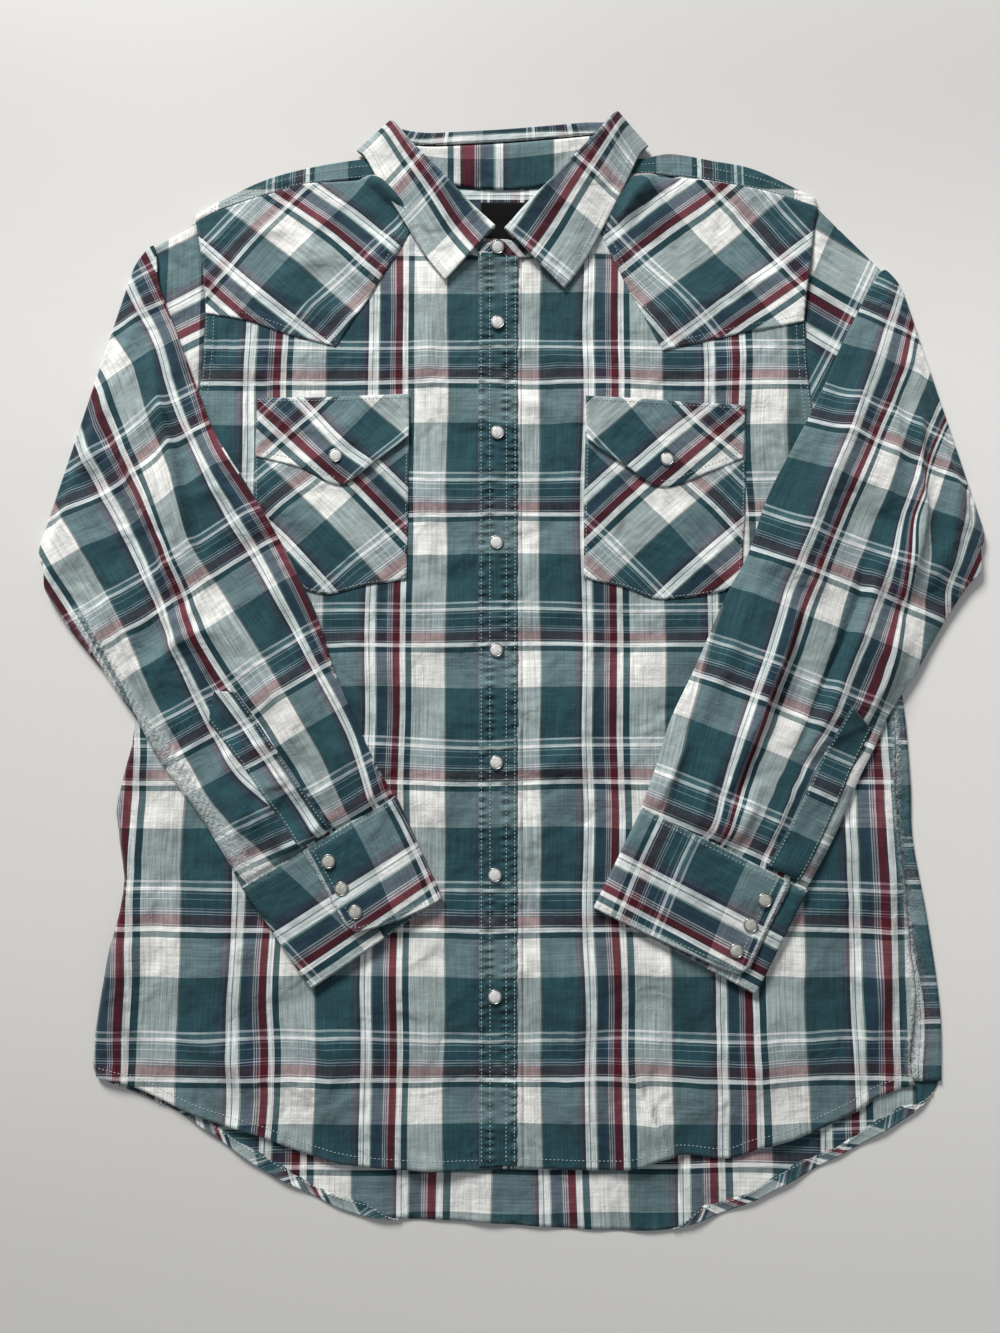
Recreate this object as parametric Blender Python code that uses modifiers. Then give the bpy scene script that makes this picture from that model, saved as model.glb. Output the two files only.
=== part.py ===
"""A western snap shirt laid flat on its back, sleeves folded over the front.

X runs to the wearer's left, Y from the hem to the collar and Z up. The origin is at the
middle of the shirt's outline, on the surface that the shirt lies on. Left and right are
the wearer's. Tables are in millimetres.
"""
import math

import bmesh
import bpy
from mathutils import Vector

MM = 0.001

WALL = 1.0            # thickness of every cloth wall
GAP = 0.3             # space between pieces that lie on each other
PLY = WALL + GAP      # rise from one layer's middle to the next
HALF = WALL / 2
SIDE_BED = 1.6        # underside of the top layer at the side edges
CROWN = 1.5           # how much higher the top layer lies at the middle
BODY_HALF = 330.0     # half the width of the body at the hem
COLLAR_RAISE = 1.4    # the yoke's lift where the collar lies under it
RAISE_REACH = 38.0    # how far below the collar's edge the lift starts
RAISE_SLOPE = 22.0    # the length over which it rises
RAISE_HALF = 152.0    # half its width, side to side
SEAM = 0.3            # half the space between two edges that are sewn together
SIDE_GAP = 0.9        # from the left front's edge to the side seam
STAND_RISE = 1.9      # how far the stand goes up past the collar's lip, in walls
PEARL_TAPER = 0.8     # a pearl cap's top radius as a share of its foot's

PLAID = (0.06, 0.13, 0.16, 1)
METAL = (0.62, 0.62, 0.60, 1)
PEARL = (0.82, 0.82, 0.78, 1)
BLACK = (0.02, 0.02, 0.02, 1)

# ---- outlines: (x, y) ------------------------------------------------------------

SIDE_RIGHT = [(-320, -331), (-323, -312), (-315, -252), (-304, -194), (-309, -150), (-311, -122),
              (-300, -60), (-298, 30), (-282, 121)]
SIDE_LEFT = [(329, -334), (330, -280), (323, -212), (314, -150), (314, -104), (310, -36),
             (297, 39), (277, 121)]
SIDE_SEAM_LEFT = [(308, -336), (305, -317), (311, -267), (308, -225), (303, -166), (301, -114),
                  (303, -50), (291, 39), (272, 121)]
ARMHOLE_RIGHT = [(-282, 121), (-264, 172), (-254, 227), (-253, 275), (-256, 320), (-263, 357)]
ARMHOLE_LEFT = [(277, 121), (259, 151), (246, 190), (242, 240), (242, 300), (254, 370)]
HEM_FRONT_RIGHT = [(-320, -331), (-287, -339), (-257, -353), (-230, -363), (-191, -375),
                   (-151, -389), (-110, -397), (-30, -399), (8, -398)]
HEM_FRONT_LEFT = [(8, -398), (86, -398), (121, -388), (162, -391), (187, -383), (218, -374),
                  (257, -358), (275, -347), (304, -336)]
HEM_BACK = [(-320, -331), (-265, -353), (-222, -379), (-190, -400), (-155, -417), (-116, -433),
            (-60, -436), (-18, -438), (36, -442), (86, -444), (127, -441), (176, -425),
            (202, -413), (238, -395), (258, -385), (290, -368), (314, -352), (329, -334)]
YOKE_SEAM_BACK = [(-255, 300), (-6, 262), (242, 300)]
FOLD_RIGHT = [(-263, 364), (-239, 378), (-204, 395), (-164, 406), (-125, 412), (-112, 412)]
FOLD_LEFT = [(98, 412), (112, 413), (134, 417), (168, 411), (204, 403), (254, 378)]
NECK_BACK = [(-112, 412), (-80, 402), (-46, 391), (-4, 387), (38, 393), (70, 404), (98, 412)]
SEAM_RIGHT = [(-263, 357), (-239, 369), (-199, 382), (-168, 390), (-127, 394), (-112, 396)]
SEAM_LEFT = [(98, 398), (118, 398), (165, 392), (215, 382), (254, 370)]
NECK_RIGHT = [(-112, 396), (-96, 384), (-76, 357), (-46, 333), (-12, 326), (8, 325)]
NECK_LEFT = [(8, 325), (34, 331), (62, 354), (82, 384), (98, 398)]
CENTRE_EDGE = 8.0     # where the two fronts meet under the placket

# the pocket flaps, pockets and front yokes, each by its four edges
FRONT_YOKES = {
    "right": dict(
        low=[(-252, 277), (-223, 272), (-183, 259), (-145, 249)],
        inner=[(-145, 249), (-117, 292), (-93, 332)],
        top=[(-263, 356), (-239, 368), (-199, 381), (-168, 389), (-130, 392), (-106, 374), (-93, 332)],
        outer=[(-252, 277), (-256, 320), (-263, 356)]),
    "left": dict(
        low=[(240, 270), (180, 258), (123, 245)],
        inner=[(123, 245), (92, 306), (79, 334)],
        top=[(254, 369), (215, 381), (165, 391), (116, 394), (93, 374), (79, 334)],
        outer=[(240, 270), (243, 300), (254, 369)]),
}
POCKETS = {
    "right": dict(
        low=[(-207, 64), (-180, 52), (-150, 43), (-118, 50), (-85, 55)],
        inner=[(-85, 55), (-84, 120), (-84, 201)],
        top=[(-208, 199), (-84, 201)],
        outer=[(-207, 64), (-209, 130), (-208, 199)]),
    "left": dict(
        low=[(185, 75), (177, 49), (120, 39), (90, 48), (57, 56)],
        inner=[(57, 56), (58, 120), (60, 199)],
        top=[(190, 194), (60, 199)],
        outer=[(185, 75), (189, 130), (190, 194)]),
}
FLAPS = {
    "right": dict(
        low=[(-208, 156), (-172, 146), (-139, 132), (-110, 151), (-84, 172)],
        inner=[(-84, 172), (-84, 208)],
        top=[(-208, 204), (-84, 208)],
        outer=[(-208, 156), (-208, 204)]),
    "left": dict(
        low=[(188, 155), (160, 143), (121, 130), (88, 150), (60, 170)],
        inner=[(60, 170), (60, 206)],
        top=[(190, 199), (60, 206)],
        outer=[(188, 155), (190, 199)]),
}
PLACKET = dict(top=328.0, bottom=-396.0, left_top=5.0, right_top=-28.0, left_low=3.0, right_low=-26.0)
LABEL = dict(right=-26.0, left=18.0, top=374.0, bottom=338.0, wall=0.6)

# ---- collar: where the fall folds over, and its outer edge, round the neck --------
# fold x, y, z and edge x, y, z, from the wearer's right front to the left front

COLLAR = [
    ((-14, 348, 14.0), (-55, 304, 8.0)),
    ((-35, 368, 15.0), (-73, 328, 7.5)),
    ((-57, 392, 16.0), (-91, 358, 7.5)),
    ((-80, 416, 16.0), (-109, 387, 7.5)),
    ((-96, 435, 15.5), (-122, 411, 7.5)),
    ((-101, 442, 9.5), (-130, 419, 3.8)),
    ((-95, 437, 5.0), (-122, 414, 0.5)),
    ((-72, 433, 4.5), (-90, 392, 0.5)),
    ((-44, 434, 4.5), (-50, 374, 0.5)),
    ((-8, 436, 4.5), (-8, 369, 0.5)),
    ((28, 439, 4.5), (34, 376, 0.5)),
    ((60, 442, 4.5), (76, 396, 0.5)),
    ((81, 443, 5.0), (105, 416, 0.5)),
    ((88, 450, 9.5), (114, 423, 3.8)),
    ((83, 443, 15.5), (106, 413, 7.5)),
    ((64, 421, 16.5), (94, 387, 7.5)),
    ((40, 395, 17.0), (78, 355, 7.5)),
    ((17, 371, 17.0), (61, 322, 7.5)),
    ((-6, 345, 16.0), (43, 297, 8.0)),
]
ROLL = 3.0            # between the fall's two walls at its fold
LIP = 10.5            # the fall's inside, from its fold to its seam with the stand

# foot of the stand at each row of COLLAR, x, y, z, and the two ends past it
STAND_FOOT = [
    (-24, 324, 6.4), (-48, 333, 5.4), (-78, 357, 5.1), (-98, 384, 5.1), (-108, 400, 5.1),
    (-109, 405, 4.2), (-105, 405, 3.3), (-79, 400, 3.2), (-46, 389, 3.2), (-4, 385, 3.2),
    (38, 391, 3.2), (69, 402, 3.2), (91, 407, 3.3), (95, 407, 4.2), (94, 401, 5.1),
    (84, 384, 5.1), (64, 354, 5.1), (36, 330, 5.6), (4, 323, 7.8),
]
STAND_UNDER_END = ((7, 323, 6.4), (6, 338, 8.3))
STAND_OVER_END = ((-27, 323, 7.8), (-26, 334, 10.2))

# ---- sleeves: flattened tubes, folded over at the outer edge -----------------------
# crest = the end of a section nearest the shoulder, under = the end at the underarm seam;
# z is the middle of the flat tube there

TUBE = 3.0            # height of the flattened tube
TUBE_GAP = 0.8        # space between the folded tube's two lengths
SLEEVE_STEPS = 6      # straight steps across a flattened sleeve
ARMHOLE_SEAM = 2.0    # from the armhole's edge to the sleeve's wall
SLEEVES = {
    "right": dict(
        armhole=ARMHOLE_RIGHT,
        outer_fold=[(-308, 335), (-385, 67)],
        # crest x, y, z, under x, y, z
        over=[((-290, 297, 6.0), (-374, 46, 5.4)),
              ((-273, 254, 6.6), (-358, 21, 4.6)),
              ((-255, 208, 7.8), (-340, -2, 3.6)),
              ((-241, 175, 8.6), (-328, -16, 3.4)),
              ((-214, 132, 8.8), (-313, -36, 4.6)),
              ((-192, 96, 8.8), (-298, -56, 5.4)),
              ((-176, 67, 8.2), (-284, -80, 5.6)),
              ((-157, 28, 7.6), (-268, -103, 5.6)),
              ((-144, -11, 7.2), (-253, -122, 5.8)),
              ((-128, -49, 7.2), (-238, -143, 5.9)),
              ((-110, -87, 7.2), (-222, -168, 6.0)),
              ((-93, -116, 7.2), (-211, -186, 6.0))],
    ),
    "left": dict(
        armhole=ARMHOLE_LEFT,
        outer_fold=[(318, 314), (384, 82)],
        over=[((298, 303, 6.0), (376, 62, 5.4)),
              ((284, 277, 6.4), (365, 50, 5.0)),
              ((268, 246, 6.8), (350, 28, 4.0)),
              ((249, 204, 8.2), (335, 4, 3.8)),
              ((229, 167, 8.6), (322, -18, 4.6)),
              ((205, 121, 8.8), (308, -38, 5.2)),
              ((188, 74, 8.6), (296, -56, 5.4)),
              ((171, 43, 8.2), (287, -76, 5.6)),
              ((144, -17, 7.4), (272, -104, 5.8)),
              ((125, -56, 7.2), (258, -135, 5.9)),
              ((113, -92, 7.2), (245, -160, 6.0)),
              ((102, -125, 7.2), (228, -188, 6.0))],
    ),
}
CUFF_WALL = 1.4       # a cuff is two plies and an interlining
CUFF_TUBE = 7.6       # height of the fastened cuff
CUFF_SEAM = 0.5       # from the sleeve's end to the cuff
LAP_START = 0.35      # where the lapped ply starts to come down, along its length
LAP_SLOPE = 0.5
# top and mouth corners at the crest side and the underarm side, where the overlap lies
# (0 crest, 1 underarm) and how far the under ply runs on from there
CUFFS = {
    "right": dict(crest=(-92, -117), under=(-210, -187), crest_mouth=(-55, -196), under_mouth=(-155, -264),
                  lap=0.60, tuck=0.16, z=8.2),
    "left": dict(crest=(102, -126), under=(228, -190), crest_mouth=(63, -203), under_mouth=(186, -268),
                 lap=0.90, tuck=0.20, z=8.2),
}
# the placket strips on the sleeves: position along (0 fold, 1 cuff) and across (0 crest, 1 under)
SLEEVE_PLACKETS = {
    "right": dict(start=0.655, end=0.985, across_start=(0.70, 0.52), across_end=(0.60, 0.385), point=0.035),
    "left": dict(start=0.655, end=0.985, across_start=(0.94, 0.79), across_end=(0.94, 0.75), point=0.0),
}

# ---- snaps -----------------------------------------------------------------------

SNAP_RIM = 5.6        # outer radius of the metal rim
SNAP_EYE = 4.5        # radius of the pearl cap
SNAP_HEIGHT = 2.2
PEARL_DEPTH = 1.8
NECK_SNAP = (-12, 331, 10.9)
NECK_TILT = math.radians(15)
FRONT_SNAPS = [(-12, 268), (-12, 175), (-13, 85), (-13, -2), (-13, -91), (-14, -178), (-14, -270)]
FLAP_SNAPS = {"right": (-143, 156), "left": (125, 153)}
# along the cuff (0 seam, 1 mouth) and across (0 crest, 1 underarm)
CUFF_SNAPS = {
    "right": [(0.19, 0.503), (0.445, 0.515), (0.672, 0.51)],
    "left": [(0.24, 0.808), (0.49, 0.80), (0.742, 0.79)],
}


# ---- small helpers ---------------------------------------------------------------

def between(a, b, t):
    return a + (b - a) * t


def ease(t):
    """0 to 1 with a soft start and a soft end."""
    t = max(0.0, min(1.0, t))
    return t * t * (3 - 2 * t)


def to_vector(point):
    return Vector((point[0], point[1], point[2] if len(point) > 2 else 0.0))


def curve_points(points, count):
    """Count points, evenly spaced, on a rounded curve through the given points."""
    knots = [to_vector(p) for p in points]
    knots = [knots[0] * 2 - knots[1]] + knots + [knots[-1] * 2 - knots[-2]]
    fine = []
    for a, b, c, d in zip(knots, knots[1:], knots[2:], knots[3:]):
        for k in range(12):
            t = k / 12
            fine.append(0.5 * (2 * b + (c - a) * t + (2 * a - 5 * b + 4 * c - d) * t * t
                               + (3 * b - a - 3 * c + d) * t * t * t))
    fine.append(knots[-2])
    run = [0.0]
    for a, b in zip(fine, fine[1:]):
        run.append(run[-1] + (b - a).length)
    found = []
    i = 0
    for k in range(count):
        target = run[-1] * k / (count - 1)
        while i < len(run) - 2 and run[i + 1] < target:
            i += 1
        step = run[i + 1] - run[i]
        found.append(fine[i].lerp(fine[i + 1], (target - run[i]) / step if step else 0.0))
    return found


def patch(low, top, first, last):
    """Rows of points that fill the space between four edges, given as equal counts."""
    rows = []
    for j, (f, l) in enumerate(zip(first, last)):
        v = j / (len(first) - 1)
        row = []
        for i, (b, t) in enumerate(zip(low, top)):
            u = i / (len(low) - 1)
            ruled = b.lerp(t, v) + f.lerp(l, u)
            corners = low[0].lerp(low[-1], u).lerp(top[0].lerp(top[-1], u), v)
            row.append(ruled - corners)
        rows.append(row)
    return rows


def collection(name, hidden=False):
    made = bpy.data.collections.new(name)
    bpy.context.scene.collection.children.link(made)
    made.hide_render = hidden
    return made


def finish(name, colour, roughness, metallic=0.0):
    material = bpy.data.materials.new(name)
    material.use_nodes = True
    shader = material.node_tree.nodes["Principled BSDF"]
    shader.inputs["Base Color"].default_value = colour
    shader.inputs["Roughness"].default_value = roughness
    shader.inputs["Metallic"].default_value = metallic
    return material


def new_object(name, bm, colour=PLAID, roughness=0.85, metallic=0.0):
    mesh = bpy.data.meshes.new(name)
    bm.to_mesh(mesh)
    bm.free()
    made = bpy.data.objects.new(name, mesh)
    bpy.data.collections["western_snap_shirt"].objects.link(made)
    mesh.materials.append(finish(name, colour, roughness, metallic))
    mesh.shade_smooth()
    return made


def grid_mesh(rows, keep=None):
    """A sheet through rows of points in millimetres. keep(row, column) leaves faces out."""
    bm = bmesh.new()
    columns = len(rows[0])
    bmesh.ops.create_grid(bm, x_segments=columns - 1, y_segments=len(rows) - 1, size=1)
    bm.verts.ensure_lookup_table()
    cut = []
    for face in bm.faces:
        corner = min(v.index for v in face.verts)
        if keep and not keep(corner // columns, corner % columns):
            cut.append(face)
    for vert, point in zip(bm.verts, (p for row in rows for p in row)):
        vert.co = point * MM
    bmesh.ops.delete(bm, geom=cut, context="FACES")
    return bm


def cloth(name, rows, wall=WALL, keep=None, tube=False, even=True, colour=PLAID):
    """A sewn piece: a sheet through the middle of its wall, thickened both ways."""
    bm = grid_mesh(rows, keep)
    if tube:
        bmesh.ops.remove_doubles(bm, verts=bm.verts, dist=0.00001)
    made = new_object(name, bm, colour)
    shell = made.modifiers.new("wall", "SOLIDIFY")
    shell.thickness = wall * MM
    shell.offset = 0
    shell.use_even_offset = even
    return made


# ---- where the layers of the body lie ---------------------------------------------

def bed(x):
    """Underside of the fronts, the shoulder strips and the side flap."""
    return SIDE_BED + CROWN * (1 - min(1.0, abs(x) / BODY_HALF) ** 3)


def top_layer(point, layer=0):
    """The point lifted to the middle of the fronts' wall, or of a layer on top of them."""
    return Vector((point.x, point.y, bed(point.x) + HALF + layer * PLY))


def collar_edge(x):
    """How far down the back the collar reaches under the yoke at x."""
    edges = [edge for fold, edge in COLLAR[6:13]]
    for a, b in zip(edges, edges[1:]):
        if a[0] <= x <= b[0]:
            return between(a[1], b[1], (x - a[0]) / (b[0] - a[0]))
    return edges[0][1]


def bottom_layer(point):
    """The point at the middle of the back's wall, lifted over the collar."""
    middle = (COLLAR[0][0][0] + COLLAR[-1][0][0]) / 2
    reach = ease((point.y - collar_edge(point.x) + RAISE_REACH) / RAISE_SLOPE)
    width = ease((RAISE_HALF - abs(point.x - middle)) / RAISE_SLOPE)
    return Vector((point.x, point.y, HALF + COLLAR_RAISE * reach * width))


def turn_over(low, high, outward, steps):
    """Points round a fold from the low point to the high point above it."""
    centre = (low + high) / 2
    radius = (high - low).length / 2
    up = (high - low).normalized()
    turned = []
    for k in range(1, steps):
        angle = math.pi * k / steps
        turned.append(centre - up * radius * math.cos(angle) + outward * radius * math.sin(angle))
    return turned


# ---- body ------------------------------------------------------------------------

def pointed_seam(count):
    """The back yoke's lower seam, two straight lines that meet in a point."""
    half = count // 2 + 1
    start, point, end = YOKE_SEAM_BACK
    return curve_points([start, point], half)[:-1] + curve_points([point, end], half)


def make_back(rows=16, across=11):
    """The back, with the strip that wraps round the left side to its side seam."""
    hem = curve_points(HEM_BACK, across)
    seam = [p - Vector((0, SEAM, 0)) for p in pointed_seam(across)]
    right = curve_points(SIDE_RIGHT + ARMHOLE_RIGHT[1:4] + [(-255, 300 - SEAM)], rows)
    left = curve_points(SIDE_LEFT + ARMHOLE_LEFT[1:4] + [(242, 300 - SEAM)], rows)
    sheet = patch(hem, seam, right, left)
    armpit = ARMHOLE_LEFT[0][1]
    grid = []
    for row in sheet:
        flat = [bottom_layer(p) for p in row]
        edge = flat[-1]
        radius = (bed(edge.x) + HALF - edge.z) / 2
        outward = Vector((1, 0, 0))
        start = edge - outward * radius
        top = Vector((start.x, start.y, bed(edge.x) + HALF))
        width = start.x - side_seam_at(edge.y)
        wrap = turn_over(start, top, outward, 4)
        strip = [top - outward * width * k / 2 for k in range(3)]
        grid.append(flat[:-1] + [start] + wrap + [Vector((p.x, p.y, bed(p.x) + HALF)) for p in strip])
    plate = across - 1
    wraps = [row[across - 1].y < armpit for row in grid]
    return cloth("back", grid, keep=lambda j, i: i < plate or (wraps[j] and wraps[min(j + 1, rows - 1)]))


def side_seam_at(y):
    """X of the side seam that shows on the left, at height y."""
    seam = curve_points(SIDE_SEAM_LEFT, 60)
    for a, b in zip(seam, seam[1:]):
        if a.y <= y <= b.y:
            return between(a.x, b.x, (y - a.y) / (b.y - a.y))
    return seam[0].x if y < seam[0].y else seam[-1].x


def make_back_yoke(rows=7, sides=6, middle=11):
    """The yoke over the shoulders: flat on the back, turned over at the shoulder line."""
    fold_right = curve_points(FOLD_RIGHT, sides)
    neck = curve_points(NECK_BACK, middle)
    fold_left = curve_points(FOLD_LEFT, sides)
    top = fold_right[:-1] + neck + fold_left[1:]
    low = [p + Vector((0, SEAM, 0)) for p in pointed_seam(len(top))]
    first = curve_points([(-255, 300 + SEAM), (-256, 330), (-263, 364)], rows)
    last = curve_points([(242, 300 + SEAM), (246, 336), (254, 378)], rows)
    sheet = patch(low, top, first, last)
    seam_right = curve_points(SEAM_RIGHT, sides)
    seam_left = curve_points(SEAM_LEFT, sides)
    seams = seam_right[:-1] + [seam_right[-1]] * middle + seam_left[1:]
    seams[len(seam_right) - 1 + middle - 1] = seam_left[0]
    columns = []
    for i in range(len(top)):
        column = [bottom_layer(row[i]) for row in sheet]
        edge = column[-1]
        seam = seams[i] + Vector((0, SEAM, 0))
        outward = Vector((edge.x - seam.x, edge.y - seam.y, 0)).normalized()
        on_shoulder = i < sides or i >= sides + middle - 2
        radius = (bed(edge.x) + HALF - edge.z) / 2
        if on_shoulder:
            column[-1] = edge - outward * radius
        start = column[-1]
        above = Vector((start.x, start.y, bed(start.x) + HALF))
        end = top_layer(seam)
        column += turn_over(start, above, outward, 4)
        column += [above.lerp(end, k / 2) for k in range(3)]
        columns.append(column)
    grid = [list(row) for row in zip(*columns)]
    last_flat = rows - 1

    def keep(j, i):
        return j < last_flat or i < sides - 1 or i >= sides + middle - 2
    return cloth("back_yoke", grid, keep=keep)


def make_front_right(rows=16, shoulder=6, neck=6):
    top = curve_points(SEAM_RIGHT, shoulder) + curve_points(NECK_RIGHT, neck)[1:]
    low = curve_points(HEM_FRONT_RIGHT, len(top))
    outer = curve_points(SIDE_RIGHT + ARMHOLE_RIGHT[1:], rows)
    centre = curve_points([(CENTRE_EDGE - SEAM, -398), (CENTRE_EDGE - SEAM, 325)], rows)
    sheet = patch(low, top, outer, centre)
    return cloth("front_right", [[top_layer(p) for p in row] for row in sheet])


def make_front_left(rows=16, shoulder=6, neck=6):
    top = curve_points(NECK_LEFT, neck) + curve_points(SEAM_LEFT, shoulder)[1:]
    low = curve_points(HEM_FRONT_LEFT, len(top))
    centre = curve_points([(CENTRE_EDGE + SEAM, -398), (CENTRE_EDGE + SEAM, 325)], rows)
    outer = curve_points([(x - SIDE_GAP, y) for x, y in SIDE_SEAM_LEFT] + ARMHOLE_LEFT[1:], rows)
    sheet = patch(low, top, centre, outer)
    return cloth("front_left", [[top_layer(p) for p in row] for row in sheet])


def overlay(name, edges, layer, across, rows):
    """A piece sewn on the fronts, made from their surface and moved out."""
    low = curve_points(edges["low"], across)
    top = curve_points(edges["top"], across)
    outer = curve_points(edges["outer"], rows)
    inner = curve_points(edges["inner"], rows)
    sheet = patch(low, top, outer, inner)
    points = [[top_layer(p, layer) for p in row] for row in sheet]
    if points[0][0].x > 0:
        points = [row[::-1] for row in points]
    return cloth(name, points)


def make_placket(rows=24):
    p = PLACKET
    grid = []
    for j in range(rows):
        t = j / (rows - 1)
        y = between(p["bottom"], p["top"], t)
        right = between(p["right_low"], p["right_top"], t)
        left = between(p["left_low"], p["left_top"], t)
        grid.append([top_layer(Vector((between(right, left, k / 2), y, 0)), 1) for k in range(3)])
    return cloth("placket", grid)


def make_label():
    p = LABEL
    grid = []
    for y in (p["bottom"], (p["bottom"] + p["top"]) / 2, p["top"]):
        row = []
        for k in range(4):
            point = bottom_layer(Vector((between(p["right"], p["left"], k / 3), y, 0)))
            row.append(point + Vector((0, 0, HALF + 2 * GAP + p["wall"] / 2)))
        grid.append(row)
    return cloth("neck_label", grid, wall=p["wall"], colour=BLACK)


# ---- collar ----------------------------------------------------------------------

def collar_sections(count):
    """At count places round the neck: fold, outer edge, outward and away directions."""
    folds = table_curve([fold for fold, edge in COLLAR], count)
    edges = table_curve([edge for fold, edge in COLLAR], count)
    for edge in edges:
        edge.z = max(edge.z, HALF)
    sections = []
    for k, (fold, edge) in enumerate(zip(folds, edges)):
        before = folds[max(0, k - 1)] + edges[max(0, k - 1)]
        after = folds[min(count - 1, k + 1)] + edges[min(count - 1, k + 1)]
        along = (after - before).normalized()
        down = (edge - fold).normalized()
        away = along.cross(down).normalized()
        sections.append((fold, edge, down, away))
    return sections


def table_curve(points, count):
    """Count points on a rounded curve, spaced by the rows of the table, not by length."""
    knots = [to_vector(p) for p in points]
    knots = [knots[0] * 2 - knots[1]] + knots + [knots[-1] * 2 - knots[-2]]
    last = len(points) - 1
    found = []
    for k in range(count):
        place = last * k / (count - 1)
        i = min(last - 1, int(place))
        t = place - i
        a, b, c, d = knots[i:i + 4]
        found.append(0.5 * (2 * b + (c - a) * t + (2 * a - 5 * b + 4 * c - d) * t * t
                            + (3 * b - a - 3 * c + d) * t * t * t))
    return found


def make_collar(count=37):
    """The fall: up from its seam with the stand, over the fold and down outside."""
    columns = []
    for fold, edge, down, away in collar_sections(count):
        inside = fold - away * ROLL
        column = [inside + down * LIP, inside + down * (ROLL / 2)]
        centre = fold - away * ROLL / 2 + down * ROLL / 2
        for k in (1, 2):
            angle = math.pi * k / 3
            column.append(centre - away * math.cos(angle) * ROLL / 2 - down * math.sin(angle) * ROLL / 2)
        column.append(fold + down * ROLL / 2)
        start = fold + down * ROLL / 2
        sag = 1 + 3 * ease(-away.z)
        for k in (1, 2, 3):
            point = start.lerp(edge, k / 3)
            point.z = edge.z + (start.z - edge.z) * (1 - k / 3) ** sag
            column.append(point)
        columns.append(column)
    return cloth("collar", [list(row) for row in zip(*columns)], even=False)


def make_collar_stand(count=37):
    """The stand, from the neck seam up to the fall, with its front ends lapped."""
    feet = table_curve(STAND_FOOT, count)
    columns = []
    for (fold, edge, down, away), foot in zip(collar_sections(count), feet):
        head = fold - away * ROLL + down * (LIP + STAND_RISE * WALL)
        columns.append((foot, head))
    ends = [[to_vector(p) for p in end] for end in (STAND_UNDER_END, STAND_OVER_END)]
    first = [(ends[0][0].lerp(columns[0][0], k / 3), ends[0][1].lerp(columns[0][1], k / 3)) for k in range(3)]
    last = [(columns[-1][0].lerp(ends[1][0], k / 3), columns[-1][1].lerp(ends[1][1], k / 3)) for k in (1, 2, 3)]
    grid = [[foot.lerp(head, k / 3) for k in range(4)] for foot, head in first + columns + last]
    return cloth("collar_stand", [list(row) for row in zip(*grid)], even=False)


# ---- sleeves ---------------------------------------------------------------------

def straight(crest, under):
    """The line across a flattened tube, from its crest side to its underarm side."""
    return [crest.lerp(under, k / SLEEVE_STEPS) for k in range(SLEEVE_STEPS + 1)]


def ring(line, up, height=TUBE):
    """A flattened ring about a line: its wall's middle, closed on itself."""
    half = (height - WALL) / 2
    first = (line[1] - line[0]).normalized()
    last = (line[-1] - line[-2]).normalized()
    line = [line[0] + first * half] + line[1:-1] + [line[-1] - last * half]
    turns = (math.pi / 3, 2 * math.pi / 3)
    points = [p + up * half for p in line]
    points += [line[-1] + up * half * math.cos(t) + last * half * math.sin(t) for t in turns]
    points += [p - up * half for p in reversed(line)]
    points += [line[0] - up * half * math.cos(t) - first * half * math.sin(t) for t in turns]
    return points + [points[0]]


def sleeve_over(side):
    """The sleeve's length over the front: crest and under ends of its sections."""
    data = SLEEVES[side]
    fold_height = TUBE * 1.5 + TUBE_GAP
    crest = [(*data["outer_fold"][0], fold_height)] + [c for c, u in data["over"]]
    under = [(*data["outer_fold"][1], fold_height)] + [u for c, u in data["over"]]
    return crest, under


def make_sleeve(side, lower=3, count=13):
    data = SLEEVES[side]
    up = Vector((0, 0, 1))
    low = Vector((0, 0, TUBE / 2))
    outward = Vector((-1 if side == "right" else 1, 0, 0))
    armhole = curve_points(data["armhole"][::-1], SLEEVE_STEPS + 1)
    root = [p + low + outward * ARMHOLE_SEAM for p in armhole]
    fold = [to_vector(p) + low for p in data["outer_fold"]]
    radius = (TUBE + TUBE_GAP) / 2
    fold = [p - outward * (radius + TUBE / 2) for p in fold]
    rings = []
    crease = straight(*fold)
    for k in range(lower):
        t = k / (lower - 1)
        rings.append(ring([a.lerp(b, t) for a, b in zip(root, crease)], up))
    for k in range(1, 6):
        angle = math.pi * k / 6
        shift = outward * radius * math.sin(angle) + up * radius * (1 - math.cos(angle))
        lean = up * math.cos(angle) - outward * math.sin(angle)
        rings.append(ring([p + shift for p in crease], lean))
    crest, under = sleeve_over(side)
    crest = [tuple(fold[0] + up * 2 * radius)] + crest[1:]
    under = [tuple(fold[1] + up * 2 * radius)] + under[1:]
    for c, u in zip(table_curve(crest, count), table_curve(under, count)):
        rings.append(ring(straight(c, u), -up))
    return cloth("sleeve_" + side, rings, tube=True)


def sleeve_top(side, along, across, rise):
    """A point on the upper side of the folded-over sleeve, raised above its cloth."""
    crest, under = sleeve_over(side)
    c = table_curve(crest, 201)[round(along * 200)]
    u = table_curve(under, 201)[round(along * 200)]
    return c.lerp(u, across) + Vector((0, 0, TUBE / 2 + rise))


def make_sleeve_placket(side, rows=9):
    """The bound strip over the sleeve's slit, down to the cuff."""
    data = SLEEVE_PLACKETS[side]
    grid = []
    for j in range(rows):
        t = j / (rows - 1)
        along = between(data["start"], data["end"], t)
        first = between(data["across_start"][0], data["across_end"][0], t)
        last = between(data["across_start"][1], data["across_end"][1], t)
        row = []
        for k in range(3):
            peak = data["point"] * (1 - t) * (1 if k == 1 else 0)
            row.append(sleeve_top(side, max(0, along - peak), between(first, last, k / 2), GAP + HALF))
        grid.append(row)
    return cloth("sleeve_placket_" + side, grid)


# ---- cuffs -----------------------------------------------------------------------

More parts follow.
